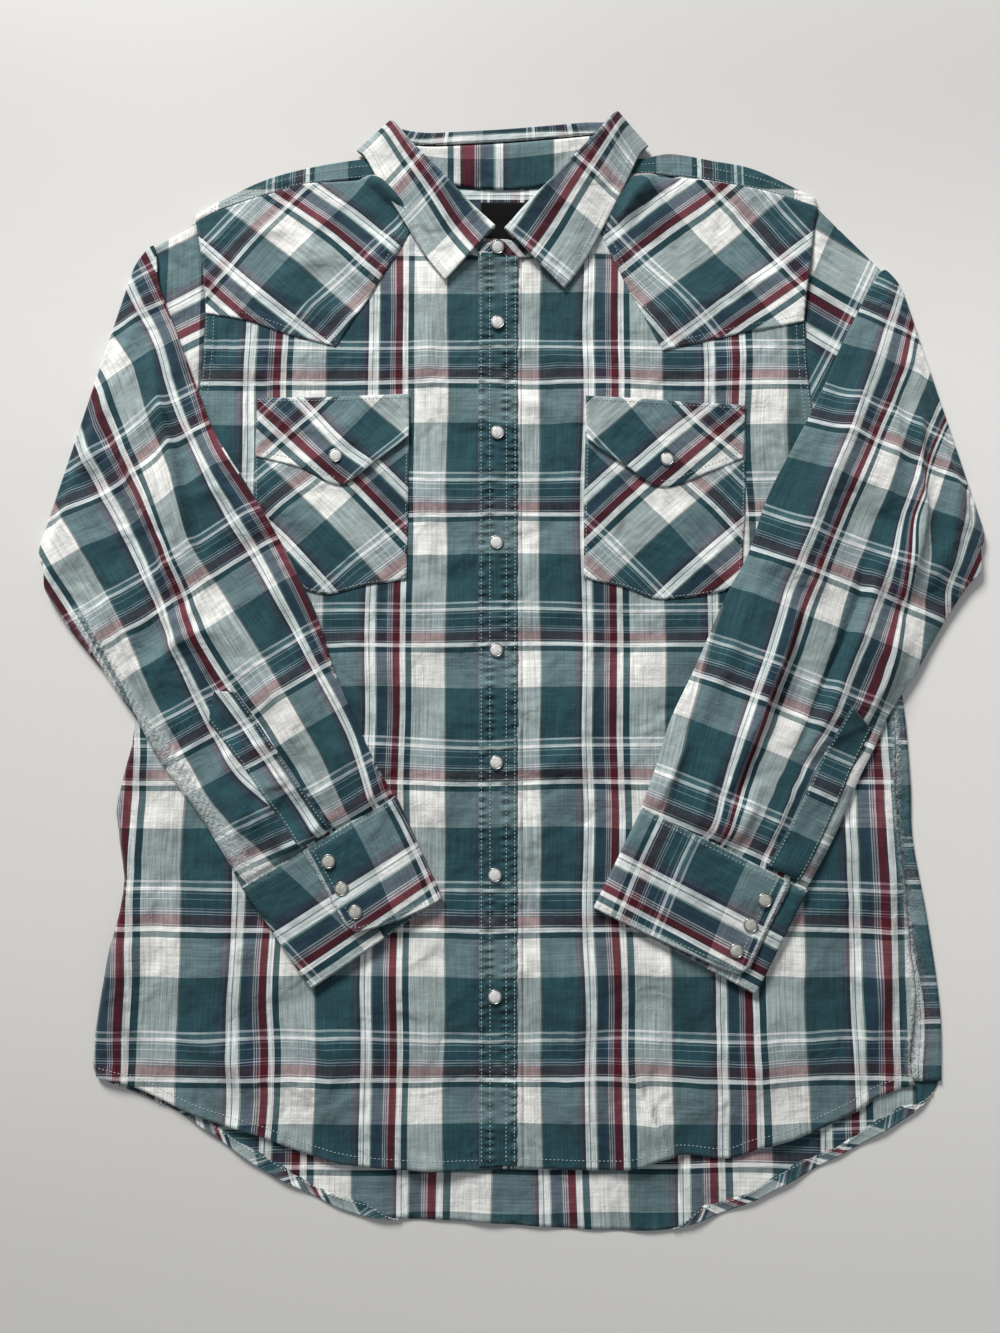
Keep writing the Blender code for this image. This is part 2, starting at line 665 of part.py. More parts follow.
def cuff_path(crest, under, data):
    """The cuff's wall in one section: from its lapped end, round, and back under the lap."""
    up = Vector((0, 0, 1))
    along = (under - crest).normalized()
    over = CUFF_WALL + GAP
    half = (CUFF_TUBE - CUFF_WALL - over) / 2
    low_z = -(CUFF_TUBE - CUFF_WALL) / 2
    lap = crest.lerp(under, data["lap"])
    tuck = crest.lerp(under, data["lap"] - data["tuck"])
    middle = low_z + half
    a = crest + along * half
    b = under - along * half
    points = []
    for k in range(5):
        lift = over * (1 - ease((k / 4 - LAP_START) / LAP_SLOPE))
        points.append(lap.lerp(a, k / 4) + up * (low_z + 2 * half + lift))
    for k in (1, 2):
        angle = math.pi * k / 3
        points.append(a + up * (middle + half * math.cos(angle)) - along * half * math.sin(angle))
    points += [a.lerp(b, k / 5) + up * low_z for k in range(6)]
    for k in (1, 2):
        angle = math.pi * k / 3
        points.append(b + up * (middle - half * math.cos(angle)) + along * half * math.sin(angle))
    points += [b.lerp(tuck, k / 3) + up * (low_z + 2 * half) for k in range(4)]
    return points


def make_cuff(side, rows=6):
    data = CUFFS[side]
    height = Vector((0, 0, data["z"]))
    crest = [to_vector(data["crest"]) + height, to_vector(data["crest_mouth"]) + height]
    under = [to_vector(data["under"]) + height, to_vector(data["under_mouth"]) + height]
    down = (crest[1] - crest[0]).normalized() * CUFF_SEAM
    grid = []
    for j in range(rows):
        t = j / (rows - 1)
        c = (crest[0] + down).lerp(crest[1], t)
        u = (under[0] + down).lerp(under[1], t)
        grid.append(cuff_path(c, u, data))
    return cloth("cuff_" + side, grid, wall=CUFF_WALL)


def cuff_top(side, along, across):
    data = CUFFS[side]
    crest = to_vector(data["crest"]).lerp(to_vector(data["crest_mouth"]), along)
    under = to_vector(data["under"]).lerp(to_vector(data["under_mouth"]), along)
    return crest.lerp(under, across) + Vector((0, 0, data["z"] + CUFF_TUBE / 2))


# ---- snaps -----------------------------------------------------------------------

def make_snap(name, place, tilt=0.0):
    """A snap's cap: a turned metal rim round a domed pearl disc."""
    x, y, z = place * MM
    eye = SNAP_EYE + GAP
    rim_profile = [(eye, GAP), (SNAP_RIM - 0.3, GAP), (SNAP_RIM, 1.0), (SNAP_RIM - 0.5, 1.8),
                   (eye, SNAP_HEIGHT - 0.3)]
    bm = bmesh.new()
    loop = [bm.verts.new((r * MM, 0, h * MM)) for r, h in rim_profile]
    edges = [bm.edges.new((a, b)) for a, b in zip(loop, loop[1:] + loop[:1])]
    bmesh.ops.spin(bm, geom=loop + edges, cent=(0, 0, 0), axis=(0, 0, 1), angle=2 * math.pi,
                   steps=16, use_merge=True)
    bmesh.ops.recalc_face_normals(bm, faces=bm.faces)
    rim = new_object(name + "_rim", bm, METAL, 0.3, 1.0)
    rim.location = (x, y, z)
    rim.rotation_euler = (tilt, 0, 0)
    bm = bmesh.new()
    bmesh.ops.create_cone(bm, cap_ends=True, segments=16, radius1=SNAP_EYE * MM,
                          radius2=SNAP_EYE * PEARL_TAPER * MM, depth=PEARL_DEPTH * MM)
    bmesh.ops.translate(bm, verts=bm.verts, vec=(0, 0, (GAP + PEARL_DEPTH / 2) * MM))
    pearl = new_object(name + "_pearl", bm, PEARL, 0.2)
    pearl.location = (x, y, z)
    pearl.rotation_euler = (tilt, 0, 0)


def make_snaps():
    make_snap("snap_neck", Vector(NECK_SNAP), NECK_TILT)
    for k, (x, y) in enumerate(FRONT_SNAPS, start=1):
        make_snap(f"snap_front_{k}", Vector((x, y, bed(x) + WALL + PLY)))
    for side, (x, y) in FLAP_SNAPS.items():
        make_snap("snap_flap_" + side, Vector((x, y, bed(x) + WALL + 2 * PLY)))
    for side, places in CUFF_SNAPS.items():
        for k, (along, across) in enumerate(places, start=1):
            make_snap(f"snap_cuff_{side}_{k}", cuff_top(side, along, across))


def main():
    for old in list(bpy.data.objects):
        bpy.data.objects.remove(old, do_unlink=True)
    collection("western_snap_shirt")
    make_back()
    make_back_yoke()
    make_front_right()
    make_front_left()
    for side in ("right", "left"):
        overlay("front_yoke_" + side, FRONT_YOKES[side], 1, 8, 6)
        overlay("pocket_" + side, POCKETS[side], 1, 7, 7)
        overlay("pocket_flap_" + side, FLAPS[side], 2, 9, 3)
        make_sleeve(side)
        make_sleeve_placket(side)
        make_cuff(side)
    make_placket()
    make_label()
    make_collar_stand()
    make_collar()
    make_snaps()


main()
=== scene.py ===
"""The looks of a western snap shirt that lies flat on its back, with its sleeves folded over.

X runs to the wearer's left, Y from the hem to the collar, Z up. Tables are in millimetres.
Left and right are the wearer's.
"""
import math

import bmesh
import bpy
import numpy as np
from mathutils import Euler, Matrix, Vector


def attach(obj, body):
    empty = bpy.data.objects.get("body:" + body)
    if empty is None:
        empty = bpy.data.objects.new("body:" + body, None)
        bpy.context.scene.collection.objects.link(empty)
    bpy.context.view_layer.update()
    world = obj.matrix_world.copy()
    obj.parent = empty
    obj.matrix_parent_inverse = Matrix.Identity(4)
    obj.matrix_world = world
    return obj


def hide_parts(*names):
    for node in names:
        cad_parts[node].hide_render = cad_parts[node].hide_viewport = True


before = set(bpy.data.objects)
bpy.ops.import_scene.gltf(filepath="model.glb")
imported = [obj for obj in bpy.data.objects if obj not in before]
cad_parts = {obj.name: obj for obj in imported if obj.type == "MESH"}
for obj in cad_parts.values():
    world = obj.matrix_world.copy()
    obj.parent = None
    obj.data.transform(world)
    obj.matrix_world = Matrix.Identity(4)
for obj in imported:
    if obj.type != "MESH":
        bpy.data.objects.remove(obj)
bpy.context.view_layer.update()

MM = 0.001
WALL = 1.0            # rise from the underside of a front to its top
CLOTH = 0.45          # thickness of the shirting
DOUBLE = 0.85         # thickness where it is sewn double
SIDE_BED = 1.6        # underside of the fronts at the side edges
CROWN = 1.5           # how much higher they lie at the middle
BODY_HALF = 330.0
DEEPEST = 1.4         # no fold of the fronts sinks below this
WARP_REPEAT = 100.0   # the plaid's repeat across, and along, the cloth
WEFT_REPEAT = 107.2

# ---- outlines: (x, y) ------------------------------------------------------------

SIDE_RIGHT = [(-320, -331), (-323, -312), (-315, -252), (-304, -194), (-309, -150), (-311, -122),
              (-300, -60), (-298, 30), (-282, 121)]
SIDE_LEFT = [(329, -334), (330, -280), (323, -212), (314, -150), (314, -104), (310, -36),
             (297, 39), (277, 121)]
SIDE_SEAM_LEFT = [(308, -336), (305, -317), (311, -267), (308, -225), (303, -166), (301, -114),
                  (303, -50), (291, 39), (272, 121)]
ARMHOLE_RIGHT = [(-282, 121), (-264, 172), (-254, 227), (-253, 275), (-256, 320), (-263, 357)]
ARMHOLE_LEFT = [(277, 121), (259, 151), (246, 190), (242, 240), (242, 300), (254, 370)]
HEM_FRONT_RIGHT = [(-320, -331), (-287, -339), (-257, -353), (-230, -363), (-191, -375),
                   (-151, -389), (-110, -397), (-30, -399), (8, -398)]
HEM_FRONT_LEFT = [(8, -398), (86, -398), (121, -388), (162, -391), (187, -383), (218, -374),
                  (257, -358), (275, -347), (304, -336)]
HEM_BACK = [(-320, -331), (-265, -353), (-222, -379), (-190, -400), (-155, -417), (-116, -433),
            (-60, -436), (-18, -438), (36, -442), (86, -444), (127, -441), (176, -425),
            (202, -413), (238, -395), (258, -385), (290, -368), (314, -352), (329, -334)]
YOKE_SEAM_BACK = [(-255, 300), (-6, 262), (242, 300)]
FOLD_RIGHT = [(-263, 364), (-239, 378), (-204, 395), (-164, 406), (-125, 412), (-112, 412)]
FOLD_LEFT = [(98, 412), (112, 413), (134, 417), (168, 411), (204, 403), (254, 378)]
NECK_BACK = [(-112, 412), (-80, 402), (-46, 391), (-4, 387), (38, 393), (70, 404), (98, 412)]
SEAM_RIGHT = [(-263, 357), (-239, 369), (-199, 382), (-168, 390), (-127, 394), (-112, 396)]
SEAM_LEFT = [(98, 398), (118, 398), (165, 392), (215, 382), (254, 370)]
NECK_RIGHT = [(-112, 396), (-96, 384), (-76, 357), (-46, 333), (-12, 326), (8, 325)]
NECK_LEFT = [(8, 325), (34, 331), (62, 354), (82, 384), (98, 398)]
CENTRE_EDGE = 8.0

FRONT_YOKES = {
    "right": dict(
        low=[(-252, 277), (-223, 272), (-183, 259), (-145, 249)],
        inner=[(-145, 249), (-117, 292), (-93, 332), (-79, 358)],
        top=[(-263, 356), (-239, 368), (-199, 381), (-168, 389), (-130, 392), (-112, 393), (-97, 382),
             (-79, 358)],
        outer=[(-252, 277), (-256, 320), (-263, 356)]),
    "left": dict(
        low=[(240, 270), (180, 258), (123, 245)],
        inner=[(123, 245), (92, 306), (78, 336), (67, 358)],
        top=[(254, 369), (215, 381), (165, 391), (116, 395), (98, 394), (84, 382), (67, 358)],
        outer=[(240, 270), (243, 300), (254, 369)]),
}
POCKETS = {
    "right": dict(
        low=[(-207, 64), (-180, 52), (-150, 43), (-118, 50), (-85, 55)],
        inner=[(-85, 55), (-84, 120), (-84, 201)],
        top=[(-208, 199), (-84, 201)],
        outer=[(-207, 64), (-209, 130), (-208, 199)]),
    "left": dict(
        low=[(185, 75), (177, 49), (120, 39), (90, 48), (57, 56)],
        inner=[(57, 56), (58, 120), (60, 199)],
        top=[(190, 194), (60, 199)],
        outer=[(185, 75), (189, 130), (190, 194)]),
}
FLAPS = {
    "right": dict(
        low=[(-208, 156), (-172, 146), (-139, 132), (-110, 151), (-84, 172)],
        inner=[(-84, 172), (-84, 208)],
        top=[(-208, 204), (-84, 208)],
        outer=[(-208, 156), (-208, 204)]),
    "left": dict(
        low=[(188, 155), (160, 143), (121, 130), (88, 150), (60, 170)],
        inner=[(60, 170), (60, 206)],
        top=[(190, 199), (60, 206)],
        outer=[(188, 155), (190, 199)]),
}
PLACKET = dict(top=328.0, bottom=-396.0, left_top=5.0, right_top=-28.0, left_low=3.0, right_low=-26.0)
LABEL = dict(right=-26.0, left=18.0, top=374.0, bottom=338.0)

# the fall's fold and its outer edge, from the wearer's right front round to the left front
COLLAR = [
    ((-14, 348, 14.0), (-55, 304, 8.0)),
    ((-35, 368, 15.0), (-73, 328, 7.5)),
    ((-57, 392, 16.0), (-91, 358, 7.5)),
    ((-80, 416, 16.0), (-109, 387, 7.5)),
    ((-96, 435, 15.5), (-122, 411, 7.5)),
    ((-101, 442, 9.5), (-130, 419, 3.8)),
    ((-95, 437, 5.0), (-122, 414, 0.5)),
    ((-72, 433, 4.5), (-90, 392, 0.5)),
    ((-44, 434, 4.5), (-50, 374, 0.5)),
    ((-8, 436, 4.5), (-8, 369, 0.5)),
    ((28, 439, 4.5), (34, 376, 0.5)),
    ((60, 442, 4.5), (76, 396, 0.5)),
    ((81, 443, 5.0), (105, 416, 0.5)),
    ((88, 450, 9.5), (114, 423, 3.8)),
    ((83, 443, 15.5), (106, 413, 7.5)),
    ((64, 421, 16.5), (94, 387, 7.5)),
    ((40, 395, 17.0), (78, 355, 7.5)),
    ((17, 371, 17.0), (61, 322, 7.5)),
    ((-6, 345, 16.0), (43, 297, 8.0)),
]
ROLL = 3.0            # between the fall's two walls at its fold
LIP = 10.5            # the fall's inside, from its fold to its seam with the stand
# the stand's foot at each row of COLLAR, and its two ends past it
STAND_FOOT = [
    (-24, 324, 6.4), (-48, 333, 5.4), (-78, 357, 5.1), (-98, 384, 5.1), (-108, 400, 5.1),
    (-109, 405, 4.2), (-105, 405, 3.3), (-79, 400, 3.2), (-46, 389, 3.2), (-4, 385, 3.2),
    (38, 391, 3.2), (69, 402, 3.2), (91, 407, 3.3), (95, 407, 4.2), (94, 401, 5.1),
    (84, 384, 5.1), (64, 354, 5.1), (36, 330, 5.6), (4, 323, 7.8),
]
STAND_UNDER_END = ((7, 323, 6.4), (6, 338, 8.3))
STAND_OVER_END = ((-27, 323, 7.8), (-26, 334, 10.2))

TUBE = 3.0            # height of a flattened sleeve
TUBE_GAP = 0.8        # between its lower part and the part folded over
INTO_CUFF = 5.0       # the sleeve's end reaches this far into the cuff
SLEEVES = {
    "right": dict(
        armhole=ARMHOLE_RIGHT, outward=-1,
        outer_fold=[(-308, 335), (-385, 67)],
        over=[((-290, 297, 6.0), (-374, 46, 5.4)),
              ((-273, 254, 6.6), (-358, 21, 4.6)),
              ((-255, 208, 7.8), (-340, -2, 3.6)),
              ((-241, 175, 8.6), (-328, -16, 3.4)),
              ((-214, 132, 8.8), (-313, -36, 4.6)),
              ((-192, 96, 8.8), (-298, -56, 5.4)),
              ((-176, 67, 8.2), (-284, -80, 5.6)),
              ((-157, 28, 7.6), (-268, -103, 5.6)),
              ((-144, -11, 7.2), (-253, -122, 5.8)),
              ((-128, -49, 7.2), (-238, -143, 5.9)),
              ((-110, -87, 7.2), (-222, -168, 6.0)),
              ((-93, -116, 7.2), (-211, -186, 6.0))],
    ),
    "left": dict(
        armhole=ARMHOLE_LEFT, outward=1,
        outer_fold=[(318, 314), (384, 82)],
        over=[((298, 303, 6.0), (376, 62, 5.4)),
              ((284, 277, 6.4), (365, 50, 5.0)),
              ((268, 246, 6.8), (350, 28, 4.0)),
              ((249, 204, 8.2), (335, 4, 3.8)),
              ((229, 167, 8.6), (322, -18, 4.6)),
              ((205, 121, 8.8), (308, -38, 5.2)),
              ((188, 74, 8.6), (296, -56, 5.4)),
              ((171, 43, 8.2), (287, -76, 5.6)),
              ((144, -17, 7.4), (272, -104, 5.8)),
              ((125, -56, 7.2), (258, -135, 5.9)),
              ((113, -92, 7.2), (245, -160, 6.0)),
              ((102, -125, 7.2), (228, -188, 6.0))],
    ),
}
CUFF_WALL = 1.4
CUFF_TUBE = 7.6       # height of a flattened cuff
CUFFS = {
    "right": dict(crest=(-92, -117), under=(-210, -187), crest_mouth=(-55, -196), under_mouth=(-155, -264),
                  lap=0.60, tuck=0.16, z=8.2, short=0.19),
    "left": dict(crest=(102, -126), under=(228, -190), crest_mouth=(63, -203), under_mouth=(186, -268),
                 lap=0.90, tuck=0.20, z=8.2, short=0.08),
}
SLEEVE_PLACKETS = {
    "right": dict(start=0.655, end=0.985, across_start=(0.70, 0.52), across_end=(0.60, 0.385), point=0.035),
    "left": dict(start=0.655, end=0.985, across_start=(0.94, 0.79), across_end=(0.94, 0.75), point=0.0),
}
SNAP_RIM = 5.6        # radius of the metal rim and of the opening in it
SNAP_EYE = 4.6
NECK_SNAP = (-12, 331, 10.9)
NECK_TILT = math.radians(15)
FRONT_SNAPS = [(-12, 268), (-12, 175), (-13, 85), (-13, -2), (-13, -91), (-14, -178), (-14, -270)]
FLAP_SNAPS = {"right": (-143, 156), "left": (125, 153)}
CUFF_SNAPS = {
    "right": [(0.19, 0.503), (0.445, 0.515), (0.672, 0.51)],
    "left": [(0.24, 0.808), (0.49, 0.80), (0.742, 0.79)],
}

CUFF_LAP_COLUMNS = 26 # of a cuff's sheet, in its lapped layer
CUFF_CORNER = 9.0     # radius of the lapped layer's corner
CUFF_MOUTH_RISE = {"right": 4.0, "left": 1.5}
# rows of stitching down the placket: share of its width, and where its ripples start
PLACKET_SEAMS = ((0.07, 0.0), (0.29, 1.7), (0.71, 3.1), (0.93, 4.4))
# where the back's hem lies turned up: shares of its length
HEM_TURNS = {"right": (0.07, 0.37), "left": (0.66, 0.985)}
HEM_TURN_WIDE = 10.5

# ---- stitching: how far each row lies from its edge --------------------------------

WIDE_ROW = 5.6        # on yokes and the low edge of flaps
COLLAR_ROW = 6.0
HEM_ROW = 7.0
FLAP_TOP_ROW = 3.0
POCKET_ROW = 2.0
ARMHOLE_ROWS = (1.6, 7.2)
SHOULDER_ROWS = (0.30, 0.82)  # shares of the strip over the shoulder

# ---- the plaid: where its stripes run --------------------------------------------
# lists: a place across or along the body, and the plaid's position there
# braces: {the plaid's position: points on the line where it lies}

BODY_WARP_RIGHT = [(-330, -139), (-304, -113), (-192, -13), (-93, 87), (-80.5, 100), (-53.5, 127),
                   (-28, 157), (-6, 163), (0, 204), (8, 211)]
BODY_WARP_LEFT = [(2, 8), (20.7, 27), (80, 87), (182, 187), (288, 287), (297, 295), (306, 303)]
BODY_WEFT = [(-440, 570.7), (-332, 459.7), (-220, 352.5), (-106, 245.3), (3, 138.1), (109, 30.9),
             (219, -76.3), (330, -184)]
BACK_WARP = [(-330, -60), (-167, 87), (-61, 187), (45, 287), (153, 387), (263, 487), (330, 550), (400, 620)]
BACK_WEFT = [(-440, 73), (-436, 69.6), (-397, 30.9), (400, -766)]

SLEEVE_WARP = {
    "right": {
        87: [(-302, 321), (-290, 298), (-270, 253), (-252, 205), (-242, 167), (-216, 128), (-193, 92),
             (-165, 38), (-145, -9)],
        68.5: [(-309, 291), (-289, 255), (-274, 205), (-261, 174), (-238, 132), (-206, 81), (-164, 4),
               (-126, -67), (-107, -124)],
        27.6: [(-307, 230), (-293, 186), (-273, 142), (-257, 81), (-233, 47), (-208, 10), (-179, -36),
               (-146, -92), (-129, -132)],
        -7.8: [(-205, -55), (-187, -81), (-166, -111), (-150, -132), (-141, -144)],
        -13: [(-335, 191), (-315, 151), (-296, 116), (-277, 78), (-260, 29), (-246, -6), (-227, -35)],
        -31.5: [(-345, 161), (-316, 109), (-282, 44), (-262, -4), (-235, -60), (-211, -98)],
        -72.4: [(-348, 85), (-311, 25), (-279, -46), (-241, -114)],
        -102.8: [(-375, 71), (-347, 29), (-308, -35)]},
    "left": {
        68.5: [(316, 278), (304, 246), (286, 202), (269, 159), (256, 130), (238, 83), (224, 52), (211, 17),
               (198, -18), (179, -72), (157, -144)],
        87: [(317, 228), (299, 190), (280, 149), (261, 106), (245, 69), (229, 29)],
        100: [(247, 47), (231, 4), (212, -44), (190, -94), (167, -153)],
        127.6: [(267, 43), (253, -6), (231, -64), (210, -108), (187, -155)],
        168.5: [(323, 135), (313, 105), (304, 70), (287, 27), (271, -8), (251, -56), (222, -102), (195, -163)],
        187: [(312, 45), (298, 4), (287, -26), (276, -50)],
        27.6: [(180, 70), (158, 11), (139, -56), (116, -132)],
        28.5: [(232, 172), (205, 121), (190, 84)],
        57.8: [(210, 39), (190, -20), (164, -92), (154, -132)],
        200: [(277, -84), (264, -108), (240, -151), (222, -181)],
        213: [(271, -106), (256, -137), (240, -168), (229, -191)],
        268.5: [(371, 101), (348, 45)],
        227.6: [(357, 161), (331, 103)]},
}
SLEEVE_WEFT = {
    "right": {
        30.9: [(-310, 273), (-285, 287)],
        138.1: [(-364, 109), (-329, 125), (-304, 139), (-281, 161), (-242, 186)],
        245.3: [(-330, 1), (-303, 14), (-274, 34), (-246, 51), (-220, 70), (-186, 90)],
        352.5: [(-263, -84), (-239, -71), (-205, -53), (-182, -35), (-146, -13)],
        459.7: [(-204, -167), (-170, -152), (-135, -137), (-97, -114)]},
    "left": {
        30.9: [(262, 290), (320, 262)],
        138.1: [(239, 186), (275, 175), (311, 157), (327, 149)],
        245.3: [(189, 81), (226, 66), (258, 55), (311, 35)],
        352.5: [(142, -20), (184, -36), (221, -52), (249, -64)],
        459.7: [(102, -126), (141, -142), (187, -161)],
        433: [(237, -152), (248, -157)],
        455: [(226, -174), (237, -179)],
        150: [(335, 135), (372, 120)]},
}
CAP_WARP = {
    "right": {57.8: [(-278, 298), (-258, 308)], 68.5: [(-276, 279), (-252, 295)],
              87: [(-268, 264), (-253, 271)], 92: [(-265, 259), (-253, 262)]},
    "left": {97: [(242, 310), (262, 298), (280, 288)], 87: [(242, 294), (261, 281), (282, 269)],
             68.5: [(239, 270), (256, 258), (272, 248)]},
}
CAP_WEFT = {
    "right": {30.9: [(-251, 309), (-251, 230)], 64.6: [(-285, 309), (-285, 230)]},
    "left": {64.6: [(261, 342), (251, 313)], 111: [(297, 309), (287, 290), (274, 264), (264, 244), (251, 222)]},
}
YOKE_CHART = {
    "right": ({87: [(-190, 379), (-150, 352), (-106, 313)], 127.6: [(-219, 353), (-184, 327), (-139, 286)],
               168.5: [(-256, 332), (-214, 294), (-158, 251)], 187: [(-253, 304), (-211, 267)]},
              {30.9: [(-242, 306), (-219, 337), (-192, 364)], 64.6: [(-206, 299), (-184, 327), (-167, 344)],
               111: [(-177, 267), (-152, 294), (-129, 315)], 138.1: [(-150, 255), (-116, 293)]}),
    "left": ({87: [(87, 319), (122, 348), (167, 380)], 127.6: [(133, 302), (168, 328), (218, 371)],
              168.5: [(124, 245), (174, 283), (242, 333)], 187: [(168, 257), (203, 282), (239, 306)]},
             {30.9: [(178, 373), (199, 349), (233, 308)], 64.6: [(151, 348), (168, 328), (188, 307)],
              111: [(109, 319), (132, 299), (157, 271)], 138.1: [(93, 296), (129, 252)]}),
}
POCKET_CHART = {
    "right": ({87: [(-125, 136), (-86, 96)], 127.6: [(-190, 142), (-149, 104), (-106, 56)],
               168.5: [(-184, 85), (-149, 47)]},
              {30.9: [(-176, 127), (-163, 136)], 64.6: [(-174, 83), (-149, 104), (-132, 121)],
               111: [(-148, 50), (-121, 74), (-101, 89)], 138.1: [(-101, 52), (-86, 63)]}),
    "left": ({87: [(57, 92), (82, 116), (104, 136)], 127.6: [(73, 50), (126, 101), (171, 138)],
              168.5: [(118, 38), (152, 69), (185, 97)], 187: [(156, 46), (182, 67)]},
             {30.9: [(143, 134), (164, 114), (186, 90)], 64.6: [(107, 119), (126, 101), (150, 73)],
              111: [(70, 91), (100, 61), (115, 46)], 138.1: [(57, 63), (70, 52)]}),
}
FLAP_CHART = {
    "right": ({187: [(-204, 196), (-167, 162), (-137, 135)], 168.5: [(-175, 201), (-140, 163), (-116, 146)],
               127.6: [(-123, 205), (-86, 172)]},
              {30.9: [(-204, 155), (-185, 172), (-157, 199)], 64.6: [(-138, 171), (-114, 198)],
               111: [(-114, 148), (-86, 171)]}),
    "left": ({187: [(115, 132), (148, 160), (181, 189)], 168.5: [(95, 141), (129, 171), (167, 201)],
              127.6: [(66, 169), (97, 196), (106, 204)]},
             {30.9: [(134, 203), (166, 171), (185, 156)], 64.6: [(97, 196), (118, 169)],
              111: [(60, 171), (82, 148)]}),
}
# the collar's plaid at each row of COLLAR: across at the fold and at the edge, along at both
COLLAR_CHART = [
    (68, 124, -60, -58), (71, 124, -36, -38), (76, 126, 6, 6), (81, 127, 39, 38), (84, 127, 62, 60),
    (85, 127, 78, 78), (84, 128, 92, 92), (80, 130, 118, 118), (78, 132, 150, 150), (78, 133, 190, 190),
    (79, 132, 228, 228), (82, 128, 258, 258), (84, 126, 284, 284), (85, 126, 300, 300), (84, 127, 316, 314),
    (80, 127, 338, 342), (75, 126, 370, 378), (70, 125, 402, 411), (66, 124, 432, 440),
]
STAND_CHART = [(-106, 150), (-79, 127), (-51, 97), (-43, 90), (-33, 86), (-22, 76), (-11, 68.5),
               (-5, 58), (35, 28), (62, 2), (82, -14), (122, -50)]
CUFF_START = {"right": (108.0, -1), "left": (-80.0, 1)}
CUFF_PLAID = [(0, 30), (0.45, 62), (0.76, 84), (0.82, 89.5), (0.87, 94.9), (0.93, 100), (1, 107)]
# the plaid across a cuff's lower wall inside its mouth: only the dark teal warp stripe, as painted shade
CUFF_INSIDE_SHADE = (31, 54)
# across the strip from one edge to the other, and the shift along it
SLEEVE_PLACKET_PLAID = {"right": (46.5, 76.5, -36), "left": (56.0, 31.0, 60)}
YOKE_ALONG = [(-260, -58), (-177, 25), (-130, 72), (105, 294.4), (121, 279), (157, 245.4),
              (190, 214.4), (260, 149)]
YOKE_ALONG_NECK = [(-130, 72), (-70, 120), (-40, 197), (8, 245.3), (60, 297), (110, 345)]

FOLD_HEIGHT = 2.6     # all the folds below are this much higher

# ---- folds: height, reach on its left and on its right, and its line ---------------

BODY_FOLDS = [
    (3.2, 5, 9, [(-123, 398), (-93, 371), (-85, 354)]),
    (-1.6, 6, 5, [(-117, 384), (-97, 363), (-93, 341)]),
    (3.0, 9, 5, [(120, 398), (103, 380), (88, 354)]),
    (-1.4, 5, 6, [(123, 384), (107, 363), (96, 341)]),
    (1.3, 3, 7, [(21, -98), (46, -81)]),
    (1.2, 3, 6, [(-53, 61), (-34, 81)]),
    (3.2, 2, 12, [(82, -310), (97, -340), (108, -362), (121, -388), (136, -416)]),
    (2.2, 9, 12, [(-299, -182), (-303, -243), (-311, -318)]),
    (-1.6, 8, 9, [(-275, -198), (-280, -258), (-284, -325)]),
    (2.6, 10, 8, [(290, -89), (293, -182), (287, -258), (268, -318)]),
    (-1.5, 9, 9, [(262, -198), (267, -258), (251, -325)]),
    (1.6, 7, 10, [(-262, -295), (-217, -318), (-194, -337)]),
    (1.5, 12, 15, [(-103, -243), (-72, -281), (-56, -333)]),
    (1.6, 14, 10, [(36, -236), (48, -296), (36, -368)]),
    (1.7, 12, 14, [(175, -266), (190, -311), (181, -355)]),
    (1.2, 10, 12, [(-91, 145), (-67, 104), (-70, 47)]),
    (1.5, 12, 10, [(-164, -273), (-140, -318), (-147, -372)]),
    (1.3, 10, 12, [(38, 6), (57, -42), (49, -105)]),
    (1.3, 12, 9, [(30, 250), (48, 190), (42, 120)]),
    (1.2, 9, 12, [(-60, 290), (-70, 240), (-58, 190)]),
    (1.4, 10, 13, [(-70, -20), (-52, -80), (-60, -150)]),
    (1.6, 12, 12, [(110, -200), (120, -260), (108, -310)]),
    (1.3, 8, 12, [(-230, -215), (-236, -260), (-228, -310)]),
    (1.2, 10, 10, [(-40, -180), (-30, -240), (-42, -300)]),
    (1.4, 10, 12, [(230, -215), (222, -270), (236, -330)]),
]
